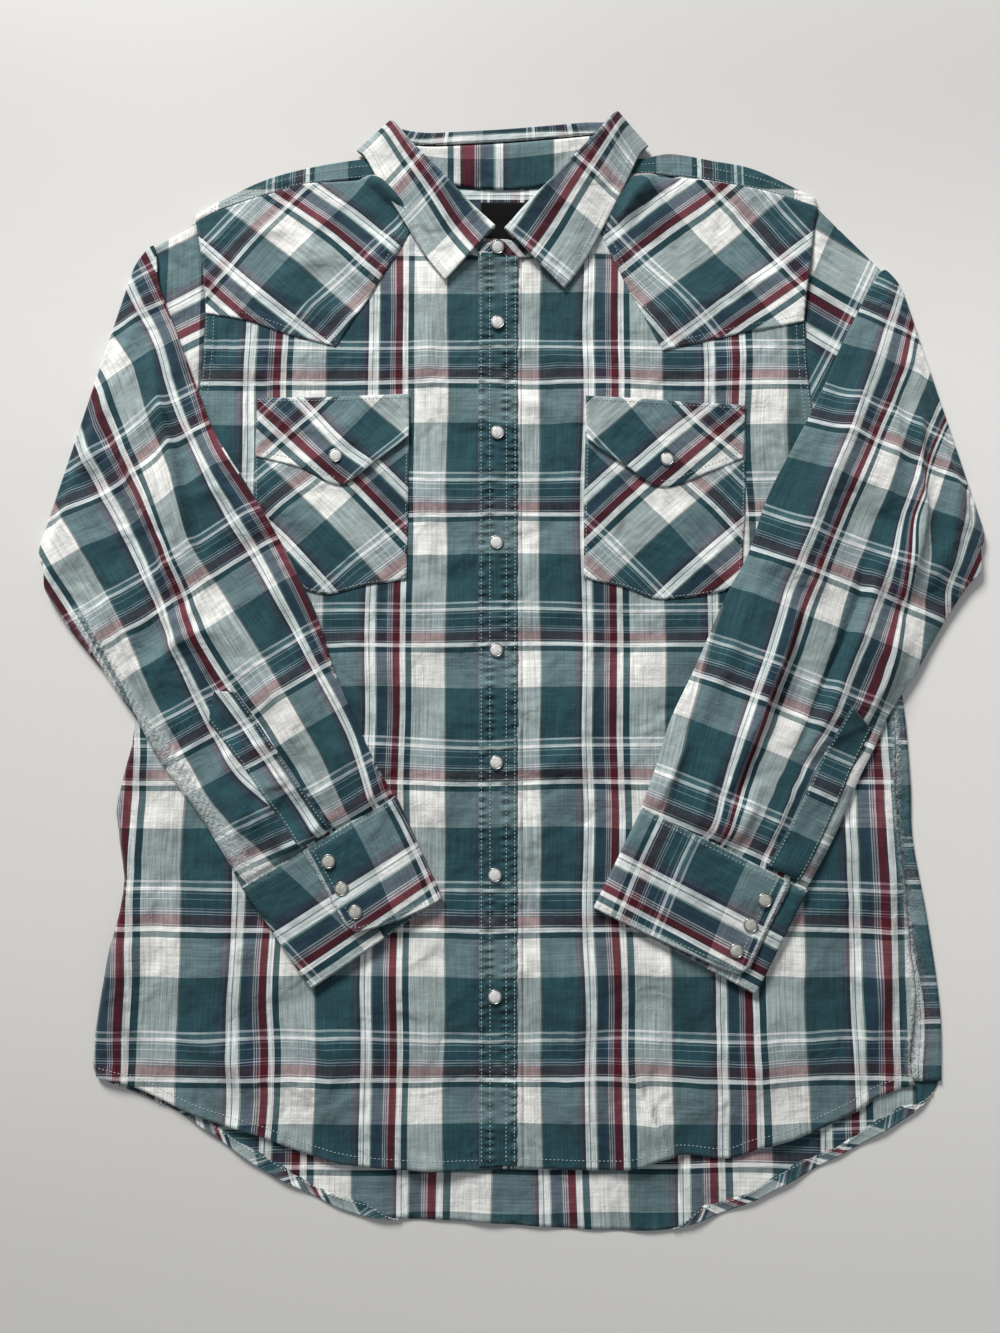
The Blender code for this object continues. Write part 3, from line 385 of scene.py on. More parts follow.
SLEEVE_FOLDS = {
    "right": [
        (3.0, 3, 14, [(-296, 261), (-284, 202), (-270, 144), (-257, 86), (-237, 46)]),
        (1.8, 9, 12, [(-237, 46), (-204, -10), (-167, -73), (-131, -132)]),
        (2.4, 12, 4, [(-326, 185), (-304, 136), (-278, 70), (-260, 6)]),
        (2.0, 9, 11, [(-351, 103), (-320, 38), (-295, -18), (-265, -73)]),
        (2.2, 9, 11, [(-211, 136), (-186, 86), (-153, 22), (-128, -42)]),
        (1.8, 8, 8, [(-290, 70), (-260, -2), (-226, -73), (-195, -143)]),
        (1.8, 4, 6, [(-140, -73), (-110, -129)]),
        (1.8, 5, 5, [(-167, -97), (-146, -143)]),
        (1.8, 4, 7, [(-196, -120), (-181, -159)]),
        (1.6, 5, 5, [(-225, -112), (-204, -162)]),
        (1.4, 5, 9, [(-292, -20), (-262, 6), (-226, 14)]),
        (1.2, 7, 5, [(-262, 120), (-232, 126), (-214, 118)]),
        (1.5, 10, 12, [(-250, 170), (-222, 130), (-200, 90)]),
    ],
    "left": [
        (3.4, 1.6, 14, [(229, 38), (212, -10), (191, -62), (168, -120)]),
        (-2.2, 3, 3, [(279, 70), (276, 39), (261, 3), (240, -44), (221, -86)]),
        (2.6, 12, 4, [(286, 72), (284, 39), (269, 3), (248, -44), (229, -86)]),
        (3.0, 4, 13, [(331, 202), (326, 141), (328, 108), (320, 68), (310, 35)]),
        (2.4, 12, 6, [(297, 261), (274, 185), (247, 119), (222, 62)]),
        (2.0, 9, 9, [(312, 22), (294, -26), (273, -66)]),
        (2.2, 9, 12, [(360, 136), (350, 86), (328, 38)]),
        (1.8, 5, 5, [(139, -66), (111, -128)]),
        (1.8, 5, 6, [(159, -89), (142, -143)]),
        (1.8, 6, 4, [(193, -105), (173, -155)]),
        (1.5, 4, 6, [(217, -112), (196, -159)]),
        (2.0, 8, 13, [(300, 236), (309, 169), (295, 103)]),
        (1.4, 6, 9, [(180, 60), (215, 66), (250, 50)]),
        (1.6, 10, 10, [(196, 60), (172, -4), (150, -60)]),
    ],
}
# where a pocket flap stands off
FLAP_LIFT = {"right": (2.6, 15, [(-84, 172), (-110, 151), (-124, 141)]),
             "left": (2.2, 14, [(60, 170), (88, 150), (104, 140)])}
# the right sleeve's own seam, where it shows on top
SLEEVE_SEAM_RIGHT = [(-346, 26), (-332, 2), (-324, -10), (-309, -34), (-294, -58), (-282, -70),
                     (-266, -91), (-249, -116), (-237, -134), (-221, -153), (-209, -169), (-203, -177)]


# ---- small helpers ---------------------------------------------------------------

def ease(t):
    """0 to 1 with a soft start and a soft end."""
    t = np.clip(t, 0.0, 1.0)
    return t * t * (3 - 2 * t)


def mix(a, b, t):
    return a + (b - a) * t


def pair(a, b):
    """Two grids of numbers as one grid of pairs."""
    return np.stack([a, b], axis=-1)


def unit(vectors):
    """Rows of vectors, each made one long."""
    return vectors / np.linalg.norm(vectors, axis=1)[:, None]


def rounded(points, places):
    """Points on a rounded line through a table, at places counted in the table's rows."""
    p = np.array(points, float)
    knots = np.vstack([2 * p[0] - p[1], p, 2 * p[-1] - p[-2]])
    places = np.clip(np.asarray(places, float), 0, len(p) - 1)
    i = np.minimum(places.astype(int), len(p) - 2)
    t = (places - i)[:, None]
    a, b, c, d = (knots[i + k] for k in range(4))
    return 0.5 * (2 * b + (c - a) * t + (2 * a - 5 * b + 4 * c - d) * t ** 2 + (3 * b - a - 3 * c + d) * t ** 3)


def rows_of(points, count):
    return rounded(points, np.linspace(0, len(points) - 1, count))


def run_of(points):
    """How far along the line each of its points is."""
    steps = np.linalg.norm(np.diff(points, axis=0), axis=1)
    return np.concatenate([[0], np.cumsum(steps)])


def spaced(points, count):
    """Count points, evenly spaced, on a line of straight steps."""
    points = np.array(points, float)
    run = run_of(points)
    want = np.linspace(0, run[-1], count)
    return np.stack([np.interp(want, run, column) for column in points.T], axis=1)


def line(points, count):
    """Count evenly spaced points on a rounded line."""
    return spaced(rows_of(points, 20 * len(points)), count)


def sideways(points):
    """Across a line, to its left, at each of its points."""
    step = np.gradient(points, axis=0)
    return unit(np.stack([-step[:, 1], step[:, 0]], 1))


def patch(low, top, first, last):
    """Rows of points that fill the space between four edges."""
    v = np.linspace(0, 1, len(first))[:, None, None]
    u = np.linspace(0, 1, len(low))[None, :, None]
    ruled = mix(low[None], top[None], v) + mix(first[:, None], last[:, None], u)
    corners = mix(mix(low[0], low[-1], u), mix(top[0], top[-1], u), v)
    return ruled - corners


def nearest(xy, points):
    """Distance to a line, the side that it is on, and how far along the line."""
    points = np.array(points, float)[:, :2]
    run = run_of(points)
    shape = xy.shape[:-1]
    best, side, along = np.full(shape, 1e9), np.zeros(shape), np.zeros(shape)
    for k in range(len(points) - 1):
        step = points[k + 1] - points[k]
        away = xy - points[k]
        t = np.clip(away @ step / (step @ step), 0, 1)
        off = away - t[..., None] * step
        d = np.hypot(off[..., 0], off[..., 1])
        closer = d < best
        best = np.where(closer, d, best)
        side = np.where(closer, np.sign(step[0] * away[..., 1] - step[1] * away[..., 0]), side)
        along = np.where(closer, run[k] + t * (run[k + 1] - run[k]), along)
    return best, side, along / run[-1], run[-1]


def creases(xy, table):
    """The height that a table of folds adds at each point."""
    total = np.zeros(xy.shape[:-1])
    for height, left, right, points in table:
        d, side, along, length = nearest(xy, line(points, 4 * len(points)))
        q = d / np.where(side > 0, left, right)
        taper = np.clip(4 * along * (1 - along), 0, 1) ** 0.7
        total += FOLD_HEIGHT * height * taper * np.exp(0.3 - np.sqrt(q * q + 0.09))
    return total


def swell(xy, seed, length, height, count=7):
    """A slow, uneven rise and fall."""
    draw = np.random.default_rng(seed)
    total = np.zeros(xy.shape[:-1])
    for _ in range(count):
        angle, phase = draw.uniform(0, math.tau, 2)
        wave = length * draw.uniform(0.7, 1.5)
        place = xy[..., 0] * math.cos(angle) + xy[..., 1] * math.sin(angle)
        total += np.sin(place * math.tau / wave + phase)
    return height * total / math.sqrt(count)


def crumple(xy, seed, length, height):
    """Shallow creases that run into each other."""
    wave = swell(xy, seed, length, 1.0)
    other = swell(xy, seed + 1, length * 2.1, 1.0)
    return height * (1 - np.sqrt(wave * wave + 0.03)) * (0.6 + 0.4 * np.tanh(other))


def pucker(xy, points, pitch=7.0, height=0.28, reach=7.0):
    """Small ripples across a sewn seam."""
    d, side, along, length = nearest(xy, points)
    s = along * length
    wander = s / pitch + 0.35 * np.sin(s / 23) + 0.3 * np.sin(s / 9.7 + 1)
    strength = 0.65 + 0.35 * np.sin(s / 31 + 2)
    return height * strength * np.sin(math.tau * wander) * np.exp(-d / reach)


# ---- charts: which part of the plaid lies where ------------------------------------

def stripe_field(lines, softness=0.02):
    """A smooth field that has each stripe's position along that stripe's line."""
    places, values = [], []
    for value, points in lines.items():
        points = spaced(points, max(3, int(run_of(np.array(points, float))[-1] / 18)))
        places.append(points)
        values.append(np.full(len(points), float(value)))
    places, values = np.vstack(places) / 100, np.concatenate(values)
    n = len(places)

    def bend(a, b):
        r = np.linalg.norm(a[:, None] - b[None], axis=2)
        return np.where(r > 1e-9, r * r * np.log(np.maximum(r, 1e-9)), 0)

    flat = np.hstack([np.ones((n, 1)), places])
    system = np.zeros((n + 3, n + 3))
    system[:n, :n] = bend(places, places) + softness * np.eye(n)
    system[:n, n:] = flat
    system[n:, :n] = flat.T
    weights = np.linalg.solve(system, np.concatenate([values, np.zeros(3)]))

    def field(xy):
        p = xy.reshape(-1, 2) / 100
        found = np.hstack([np.ones((len(p), 1)), p]) @ weights[n:]
        for start in range(0, len(p), 20000):
            found[start:start + 20000] += bend(p[start:start + 20000], places) @ weights[:n]
        return found.reshape(xy.shape[:-1])
    return field


def chart_of(lines, xy, softness=0.02):
    return pair(*(stripe_field(rows, softness)(xy) for rows in lines))


def table(rows, x):
    rows = np.array(rows, float)
    return np.interp(x, rows[:, 0], rows[:, 1])


def body_chart(xy, warp):
    return pair(table(warp, xy[..., 0]) + swell(xy, 5, 120, 0.9), body_weft(xy))


def body_weft(xy):
    return table(BODY_WEFT, xy[..., 1]) + swell(xy, 6, 130, 0.9)


# ---- materials -------------------------------------------------------------------

def new_material(name):
    material = bpy.data.materials.new(name)
    material.use_nodes = True
    tree = material.node_tree
    return material, tree, tree.nodes["Principled BSDF"]


def put(tree, kind, inputs=(), **settings):
    node = tree.nodes.new(kind)
    for key, value in settings.items():
        setattr(node, key, value)
    for key, value in dict(inputs).items():
        if isinstance(value, bpy.types.NodeSocket):
            tree.links.new(value, node.inputs[key])
        else:
            node.inputs[key].default_value = value
    return node


def maths(tree, operation, *values):
    return put(tree, "ShaderNodeMath", enumerate(values), operation=operation).outputs[0]


def scaled(tree, colour, level):
    return put(tree, "ShaderNodeVectorMath", {0: colour, "Scale": level}, operation="SCALE").outputs[0]


def blended(tree, share, first, second):
    return put(tree, "ShaderNodeMix", {0: share, 6: first, 7: second}, data_type="RGBA").outputs[2]


def bumped(tree, height, strength, distance, **under):
    return put(tree, "ShaderNodeBump", {"Height": height, "Strength": strength, "Distance": distance,
                                        **under}).outputs[0]


def ramp_of(tree, factor, rows, interpolation="LINEAR"):
    """A colour ramp; each row is a place on it and a colour."""
    ramp = put(tree, "ShaderNodeValToRGB", {"Fac": factor})
    ramp.color_ramp.interpolation = interpolation
    marks = ramp.color_ramp.elements
    for k, (at, colour) in enumerate(rows):
        mark = marks[k] if k < 2 else marks.new(at)
        mark.position = at
        mark.color = colour
    return ramp


def object_place(tree):
    return put(tree, "ShaderNodeTexCoord").outputs["Object"]


def noise(tree, vector, scale, detail=2.0, roughness=0.5, distortion=0.0):
    node = put(tree, "ShaderNodeTexNoise", {"Vector": vector, "Scale": scale, "Detail": detail,
                                            "Roughness": roughness, "Distortion": distortion})
    return node.outputs["Fac"]


def stripes(tree, place, rows, repeat):
    """A row of yarn colours; each starts at a millimetre of the repeat."""
    marks = [(start / repeat, (red / 255, green / 255, blue / 255, weight))
             for start, red, green, blue, weight in rows]
    return ramp_of(tree, maths(tree, "FRACT", place), marks, "CONSTANT")


# where each stripe starts, its red, green and blue, and how much of it shows
WARP_YARNS = [
    (0, 238, 237, 232, 1), (27.0, 120, 115, 112, 1), (28.2, 42, 75, 82, 1), (55.8, 52, 62, 74, 1),
    (59.4, 44, 42, 56, 1), (62.1, 236, 240, 238, 0.45), (64.9, 120, 130, 132, 0.8),
    (65.7, 238, 242, 240, 0.40), (70.2, 128, 148, 144, 0.9),
    (71.3, 36, 58, 66, 1), (73.6, 36, 52, 70, 1), (78.2, 40, 60, 68, 1), (79.8, 168, 166, 172, 0.8),
    (80.6, 46, 46, 58, 1), (81.5, 172, 164, 170, 0.8), (82.3, 54, 44, 56, 1), (83.2, 160, 138, 146, 0.9),
    (84.0, 80, 14, 26, 0.75), (89.3, 50, 38, 44, 1), (89.9, 238, 237, 234, 0.5), (94.9, 28, 58, 66, 1),
]
WEFT_YARNS = [
    (0, 110, 140, 146, 0.34), (1.4, 236, 240, 240, 0.60), (3.9, 43, 80, 90, 0.3), (5.4, 180, 192, 194, 0.38),
    (6.1, 43, 78, 88, 0.3), (9.8, 190, 200, 202, 0.42), (10.4, 40, 72, 84, 0.30), (16.4, 196, 202, 206, 0.5),
    (17.0, 40, 60, 72, 0.32), (18.4, 190, 196, 200, 0.5), (19.0, 42, 54, 68, 0.34), (20.2, 196, 196, 202, 0.5),
    (20.8, 48, 44, 56, 0.36), (21.8, 76, 34, 42, 0.34), (27.8, 214, 208, 208, 0.55), (28.4, 70, 60, 66, 0.35),
    (29.5, 242, 244, 243, 0.72), (32.8, 28, 58, 64, 0.36), (37.2, 236, 238, 236, 0.26), (64.6, 45, 79, 86, 0.28),
    (103.6, 206, 214, 214, 0.55), (105.2, 90, 120, 126, 0.34),
]


def plaid_cotton():
    material, tree, shader = new_material("plaid_cotton")
    chart = put(tree, "ShaderNodeUVMap", uv_map="chart").outputs[0]
    across, along = put(tree, "ShaderNodeSeparateXYZ", {0: chart}).outputs[:2]
    warp = stripes(tree, across, WARP_YARNS, WARP_REPEAT)
    weft = stripes(tree, along, WEFT_YARNS, WEFT_REPEAT)
    place = object_place(tree)

    # uneven yarns: thin streaks along the warp and along the weft
    streaks = []
    for x, y in ((74, 2.4), (2.4, 74)):
        stretched = put(tree, "ShaderNodeVectorMath", {0: chart, 1: (x, y, 1)}, operation="MULTIPLY")
        streaks.append(noise(tree, stretched.outputs[0], 1.0, 2, 0.6))
    toned = [scaled(tree, ramp.outputs[0], maths(tree, "MULTIPLY_ADD", streak, 0.85, 0.575))
             for ramp, streak in zip((warp, weft), streaks)]
    light = put(tree, "ShaderNodeRGBToBW", {0: warp.outputs[0]}).outputs[0]
    share = maths(tree, "MULTIPLY_ADD", light, 0.16, weft.outputs["Alpha"])
    share = maths(tree, "MULTIPLY", share, warp.outputs["Alpha"])
    woven = blended(tree, share, *toned)

    # worn, paler edges, paler ripple crests (rubbed wear, also painted light), painted shade where the attribute
    # goes below zero (the troughs of puckers and crinkles), and a little uneven fading
    wear_and_shade = put(tree, "ShaderNodeAttribute", attribute_name="wear_and_shade").outputs["Fac"]
    speck = noise(tree, place, 480, 5, 0.75)
    rubbed_and_lit = maths(tree, "MULTIPLY", wear_and_shade, maths(tree, "MULTIPLY_ADD", speck, 2.4, -0.7))
    rubbed_and_lit.node.use_clamp = True
    faded_and_lit = blended(tree, rubbed_and_lit, woven, (0.80, 0.83, 0.83, 1))
    level = maths(tree, "MULTIPLY_ADD", noise(tree, place, 18, 4, 0.6), 0.22, 0.89)
    # painted shade: below zero the attribute takes that much off the colour's level
    level = maths(tree, "ADD", level, maths(tree, "MINIMUM", wear_and_shade, 0.0))
    colour = put(tree, "ShaderNodeGamma", {0: scaled(tree, faded_and_lit, level), 1: 2.2})
    tree.links.new(colour.outputs[0], shader.inputs["Base Color"])
    for socket, value in (("Roughness", 0.88), ("Specular IOR Level", 0.25), ("Sheen Weight", 0.12),
                          ("Sheen Roughness", 0.5)):
        shader.inputs[socket].default_value = value

    # crinkles, most of all along worn seams, then the yarns themselves
    bump = bumped(tree, noise(tree, place, 26, 2, 0.5, 0.4), 0.8, 0.0100)
    bump = bumped(tree, noise(tree, place, 105, 4, 0.55, 0.8), 0.8, 0.0011, Normal=bump)
    gathered = maths(tree, "MULTIPLY", noise(tree, place, 230, 3, 0.6, 1.2), wear_and_shade)
    bump = bumped(tree, gathered, 0.9, 0.0028, Normal=bump)
    bump = bumped(tree, maths(tree, "ADD", *streaks), 0.4, 0.00012, Normal=bump)
    tree.links.new(bump, shader.inputs["Normal"])
    return material


def plain_material(name, colour, roughness, grain, scale, **more):
    """A plain finish whose colour and surface vary a little."""
    material, tree, shader = new_material(name)
    fine = noise(tree, object_place(tree), scale, 3, 0.6)
    toned = scaled(tree, colour, maths(tree, "MULTIPLY_ADD", fine, 2 * grain, 1 - grain))
    tree.links.new(toned, shader.inputs["Base Color"])
    tree.links.new(bumped(tree, fine, 0.4, 0.0002), shader.inputs["Normal"])
    shader.inputs["Roughness"].default_value = roughness
    for key, value in more.items():
        shader.inputs[key.replace("_", " ")].default_value = value
    return material


def pearl_material(name, tones):
    material, tree, shader = new_material(name)
    swirl = noise(tree, object_place(tree), 260, 3, 0.5, 1.5)
    ramp = ramp_of(tree, swirl, [(at, (*tone, 1)) for at, tone in zip((0.3, 0.5, 0.72), tones)])
    tree.links.new(ramp.outputs[0], shader.inputs["Base Color"])
    for socket, value in (("Roughness", 0.24), ("Coat Weight", 0.6), ("Coat Roughness", 0.08)):
        shader.inputs[socket].default_value = value
    return material


PLAID = plaid_cotton()
THREAD = plain_material("pale_thread", (0.56, 0.65, 0.63), 0.8, 0.15, 1500)
WEAVE_BLACK = plain_material("black_label_weave", (0.004, 0.004, 0.005), 0.9, 0.4, 1800,
                             Specular_IOR_Level=0.15)
METAL = plain_material("bright_metal", (0.50, 0.50, 0.49), 0.32, 0.06, 700, Metallic=1.0)
PEARL = pearl_material("pearl", ((0.60, 0.61, 0.59), (0.78, 0.79, 0.77), (0.92, 0.91, 0.88)))
# a darker copy of the pearl for the cuff snaps: painted shade
SHADED_PEARL = pearl_material("pearl_painted_shade", ((0.36, 0.36, 0.33), (0.50, 0.50, 0.46), (0.66, 0.65, 0.60)))


# ---- making pieces ---------------------------------------------------------------


def mesh_of(name, bm):
    mesh = bpy.data.meshes.new(name)
    bm.to_mesh(mesh)
    bm.free()
    return mesh


def add_piece(name, mesh, material, nodes=()):
    """A finished mesh as a piece of the shirt, in place of the CAD nodes that it stands for."""
    piece = bpy.data.objects.new(name, mesh)
    bpy.context.scene.collection.objects.link(piece)
    mesh.materials.append(material)
    mesh.shade_smooth()
    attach(piece, "root")
    if nodes:
        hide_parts(*nodes)
    return piece


def cloth(name, points, chart, keep=None, wall=CLOTH, weld=False, wear_and_shade=0.0, flip=False, offset=-1.0,
          material=PLAID, nodes=None):
    """A sewn piece: a fine sheet through rows of points, with the plaid laid on it."""
    wear_and_shade = np.broadcast_to(wear_and_shade, points.shape[:2])
    if flip:
        points, chart = points[:, ::-1], chart[:, ::-1]
        keep = None if keep is None else keep[:, ::-1]
        wear_and_shade = wear_and_shade[:, ::-1]
    rows, columns = points.shape[:2]
    bm = bmesh.new()
    bmesh.ops.create_grid(bm, x_segments=columns - 1, y_segments=rows - 1, size=1)
    mesh = mesh_of(name, bm)
    mesh.vertices.foreach_set("co", (points * MM).astype(np.float32).ravel())
    corners = np.empty(len(mesh.loops), np.int32)
    mesh.loops.foreach_get("vertex_index", corners)
    uv = (chart / (WARP_REPEAT, WEFT_REPEAT)).reshape(-1, 2).astype(np.float32)
    layer = mesh.uv_layers.new(name="chart")
    layer.data.foreach_set("uv", uv[corners].ravel())
    mesh.attributes.new("wear_and_shade", "FLOAT", "POINT").data.foreach_set("value", wear_and_shade.astype(np.float32).ravel())
    if keep is not None or weld:
        bm = bmesh.new()
        bm.from_mesh(mesh)
        if keep is not None:
            bm.faces.ensure_lookup_table()
            gone = [bm.faces[int(k)] for k in np.flatnonzero(~keep.ravel())]
            bmesh.ops.delete(bm, geom=gone, context="FACES")
        if weld:
            bmesh.ops.remove_doubles(bm, verts=bm.verts, dist=0.00001)
        bm.to_mesh(mesh)
        bm.free()
    piece = add_piece(name, mesh, material, (name,) if nodes is None else nodes)
    shell = piece.modifiers.new("wall", "SOLIDIFY")
    shell.thickness = wall * MM
    shell.offset = offset


# ---- the body --------------------------------------------------------------------

def bed(x):
    """Underside of the fronts."""
    return SIDE_BED + CROWN * (1 - np.minimum(1.0, np.abs(x) / BODY_HALF) ** 3)


def covered(side):
    """The outline of what a sleeve and its cuff cover."""
    over, cuff = SLEEVES[side]["over"], CUFFS[side]
    crest, under = [c[:2] for c, u in over], [u[:2] for c, u in over]
    return np.array(crest + [cuff["crest_mouth"], cuff["under_mouth"]] + under[::-1] + crest[:1], float)


COVERED = [covered(side) for side in SLEEVES]


def free_of_sleeves(xy):
    """1 where nothing lies on the body, less under the sleeves and cuffs."""
    room = np.ones(xy.shape[:-1])
    for closed in COVERED:
        inside = np.zeros(xy.shape[:-1], bool)
        for a, b in zip(closed, closed[1:]):
            crosses = (a[1] > xy[..., 1]) != (b[1] > xy[..., 1])
            x = a[0] + (xy[..., 1] - a[1]) * (b[0] - a[0]) / (b[1] - a[1] + 1e-9)
            inside ^= crosses & (xy[..., 0] < x)
        d = nearest(xy, closed)[0]
        room = np.minimum(room, np.where(inside, 0.15, 0.15 + 0.85 * ease(d / 22)))
    return room


FRONT_HEMS = [line(HEM_FRONT_RIGHT, 60), line(HEM_FRONT_LEFT, 60)]
PLACKET_EDGES = [spaced([(-28, 328), (-26, -396)], 30), spaced([(5, 328), (3, -396)], 30)]
EDGE_SEAMS = ([line(yoke[edge], 24) for edge in ("low", "inner") for yoke in FRONT_YOKES.values()]
              + [line(pocket[edge], 16) for pocket in POCKETS.values() for edge in ("low", "inner", "outer")])


def raised_hem(d, reach, soft, height=0.35):
    """The step where a doubled edge ends, d from the edge."""
    return height * (1 - ease((d - reach) / soft))


def front_top(xy):
    """Height of the fronts' upper side."""
    x, y = xy[..., 0], xy[..., 1]
    free = free_of_sleeves(xy)
    rise = creases(xy, BODY_FOLDS) + swell(xy, 11, 90, 0.9) + crumple(xy, 12, 80, 2.4) + crumple(xy, 15, 34, 0.9)
    rise *= free
    for edge in PLACKET_EDGES:
        rise += pucker(xy, edge, 8.5, 0.34, 9) * (0.4 + 0.6 * free)
    for seam in EDGE_SEAMS:
        rise += pucker(xy, seam, 7.5, 0.2, 6) * free
    for armhole in (ARMHOLE_RIGHT, ARMHOLE_LEFT):
        d = nearest(xy, line(armhole, 30))[0]
        rise += raised_hem(d, 6, 4, 0.5) + pucker(xy, line(armhole, 40), 7, 0.25, 8)
    for hem in FRONT_HEMS:
        d, side, along, length = nearest(xy, hem)
        s = along * length
        wave = 0.55 * np.sin(s / 13.5 + np.sin(s / 37)) + 0.35 * np.sin(s / 5.9)
        rise += np.exp(-d / 16) * wave + raised_hem(d, 6.5, 2.5)
    rise = np.where(rise < 0, DEEPEST * (np.exp(rise / DEEPEST) - 1), rise)
    return bed(x) + WALL + rise


def edge_drop(d, reach=3.0):
    """How far a sheet's edge turns down, d from the edge."""
    t = np.clip(1 - d / reach, 0, 1)
    return 1 - np.sqrt(1 - t * t)


def make_front(side, columns=104, rows=236):
    centre = spaced([(CENTRE_EDGE, -398), (CENTRE_EDGE, 325)], rows)
    if side == "right":
        seam, hem, warp = (SEAM_RIGHT, NECK_RIGHT), HEM_FRONT_RIGHT, BODY_WARP_RIGHT
        sides = line(SIDE_RIGHT + ARMHOLE_RIGHT[1:], rows), centre
    else:
        seam, hem, warp = (NECK_LEFT, SEAM_LEFT), HEM_FRONT_LEFT, BODY_WARP_LEFT
        sides = centre, line([(x - 0.6, y) for x, y in SIDE_SEAM_LEFT] + ARMHOLE_LEFT[1:], rows)
    top = spaced(np.vstack([rows_of(seam[0], 60), rows_of(seam[1], 60)[1:]]), columns)
    xy = patch(line(hem, columns), top, *sides)
    z = front_top(xy)
    chart = body_chart(xy, warp)
    wear_and_shade = 0.3 * np.exp(-np.minimum(*(nearest(xy, edge)[0] for edge in FRONT_HEMS)) / 1.2)
    if side == "right":
        d = nearest(xy, line(SIDE_RIGHT, 40))[0]
        z -= edge_drop(d, 4.0) * (bed(xy[..., 0]) + 0.2)
    else:
        d = nearest(xy, line(SIDE_SEAM_LEFT, 40))[0]
        z += raised_hem(d, 5, 4, 0.4) + pucker(xy, line(SIDE_SEAM_LEFT, 40), 7.0, 0.9, 5)
        wear_and_shade = np.maximum(wear_and_shade, 1.3 * np.exp(-(d / 3.5) ** 2) + 0.35 * np.exp(-d / 8))
        # the stripes lean towards the placket above the pocket
        chart[..., 0] -= 4.5 * ease((xy[..., 1] - 120) / 120) * np.exp(-((xy[..., 0] - 75) / 45) ** 2)
    cloth("front_" + side, np.dstack([xy, z]), chart, wear_and_shade=wear_and_shade)


def back_rise(xy):
    """How the back lies off the floor, how far each point is from its hem, and where along it."""
    d, side, along, length = nearest(xy, line(HEM_BACK, 90))
    s = along * length
    wave = 0.5 + 0.5 * np.sin(s / 17 + 1.3 * np.sin(s / 41))
    waves = np.exp(-d / 22) * (1.9 * wave + 0.5 * np.sin(s / 6.3)) + raised_hem(d, 6, 2.5)
    most = np.where(d > 30, bed(xy[..., 0]) - 0.7, 9)
    return 0.15 + np.minimum(waves, most) * ease((330 - np.abs(xy[..., 0])) / 30), d, s


def yoke_seam_back(count):
    start, point, end = YOKE_SEAM_BACK
    half = count // 2
    return np.vstack([spaced([start, point], half), spaced([point, end], count - half + 1)[1:]])


def make_back(rows=180, across=150, wrap=8, strip=12):
    right = line(SIDE_RIGHT + ARMHOLE_RIGHT[1:4] + YOKE_SEAM_BACK[:1], rows)
    left = line(SIDE_LEFT + ARMHOLE_LEFT[1:4] + YOKE_SEAM_BACK[-1:], rows)
    xy = patch(line(HEM_BACK, across), yoke_seam_back(across), right, left)
    z, d, s = back_rise(xy)
    flat = np.dstack([xy, z])
    # round the wearer's left side to a seam on top
    low, edge = flat[:, -1], flat[:, -1].copy()
    top = bed(edge[:, 0]) + WALL
    radius = (top - low[:, 2]) / 2
    centre = edge.copy()
    centre[:, 0] -= radius
    centre[:, 2] += radius
    low[:, 0] -= radius
    turn = np.linspace(0, math.pi, wrap + 2)[1:]
    turned = [centre + np.stack([radius * math.sin(a), 0 * radius, -radius * math.cos(a)], 1) for a in turn]
    seam = line(SIDE_SEAM_LEFT, 80)
    order = np.argsort(seam[:, 1])
    seam_x = np.interp(edge[:, 1], seam[order, 1], seam[order, 0])
    top_strip = np.repeat(turned[-1][:, None], strip, axis=1)
    share = np.arange(1, strip + 1) / strip
    top_strip[..., 0] = mix(centre[:, :1], seam_x[:, None] - 0.2, share[None])
    sxy = top_strip[..., :2]
    seam_d = nearest(sxy, seam)[0]
    lift = swell(sxy, 21, 45, 0.35) + raised_hem(seam_d, 4, 4) + pucker(sxy, seam, 7.0, 0.9, 12)
    edge_x = edge[:, :1]
    top_strip[..., 2] = bed(sxy[..., 0]) + WALL + lift * ease(np.abs(sxy[..., 0] - edge_x) / 6)
    points = np.concatenate([flat, np.stack(turned, axis=1), top_strip], axis=1)
    # the plaid runs on round the side
    width = np.concatenate([xy[..., 0], edge_x + radius[:, None] * (turn - math.pi / 2),
                            edge_x + (edge_x - sxy[..., 0])], axis=1)
    length = np.concatenate([xy[..., 1], np.repeat(edge[:, 1:2], wrap + 1, 1), sxy[..., 1]], axis=1)
    unrolled = np.dstack([width, length])
    chart = pair(table(BACK_WARP, width) + swell(unrolled, 7, 120, 0.9),
                 table(BACK_WEFT, length) + swell(unrolled, 8, 130, 0.9))
    keep = np.ones((rows - 1, points.shape[1] - 1), bool)
    keep[:, across - 1:] = (edge[:-1, 1] < ARMHOLE_LEFT[0][1])[:, None]
    frayed = 0.65 * np.exp(-d / 1.5) * (0.6 + 0.4 * np.sin(s / 3.1))
    worn = 1.2 * np.exp(-(seam_d / 3) ** 2) + 0.55 * np.exp(-seam_d / 14)
    wear_and_shade = np.concatenate([frayed, np.zeros((rows, wrap + 1)), worn], axis=1)
    cloth("back", points, chart, keep=keep, wear_and_shade=wear_and_shade, flip=True)


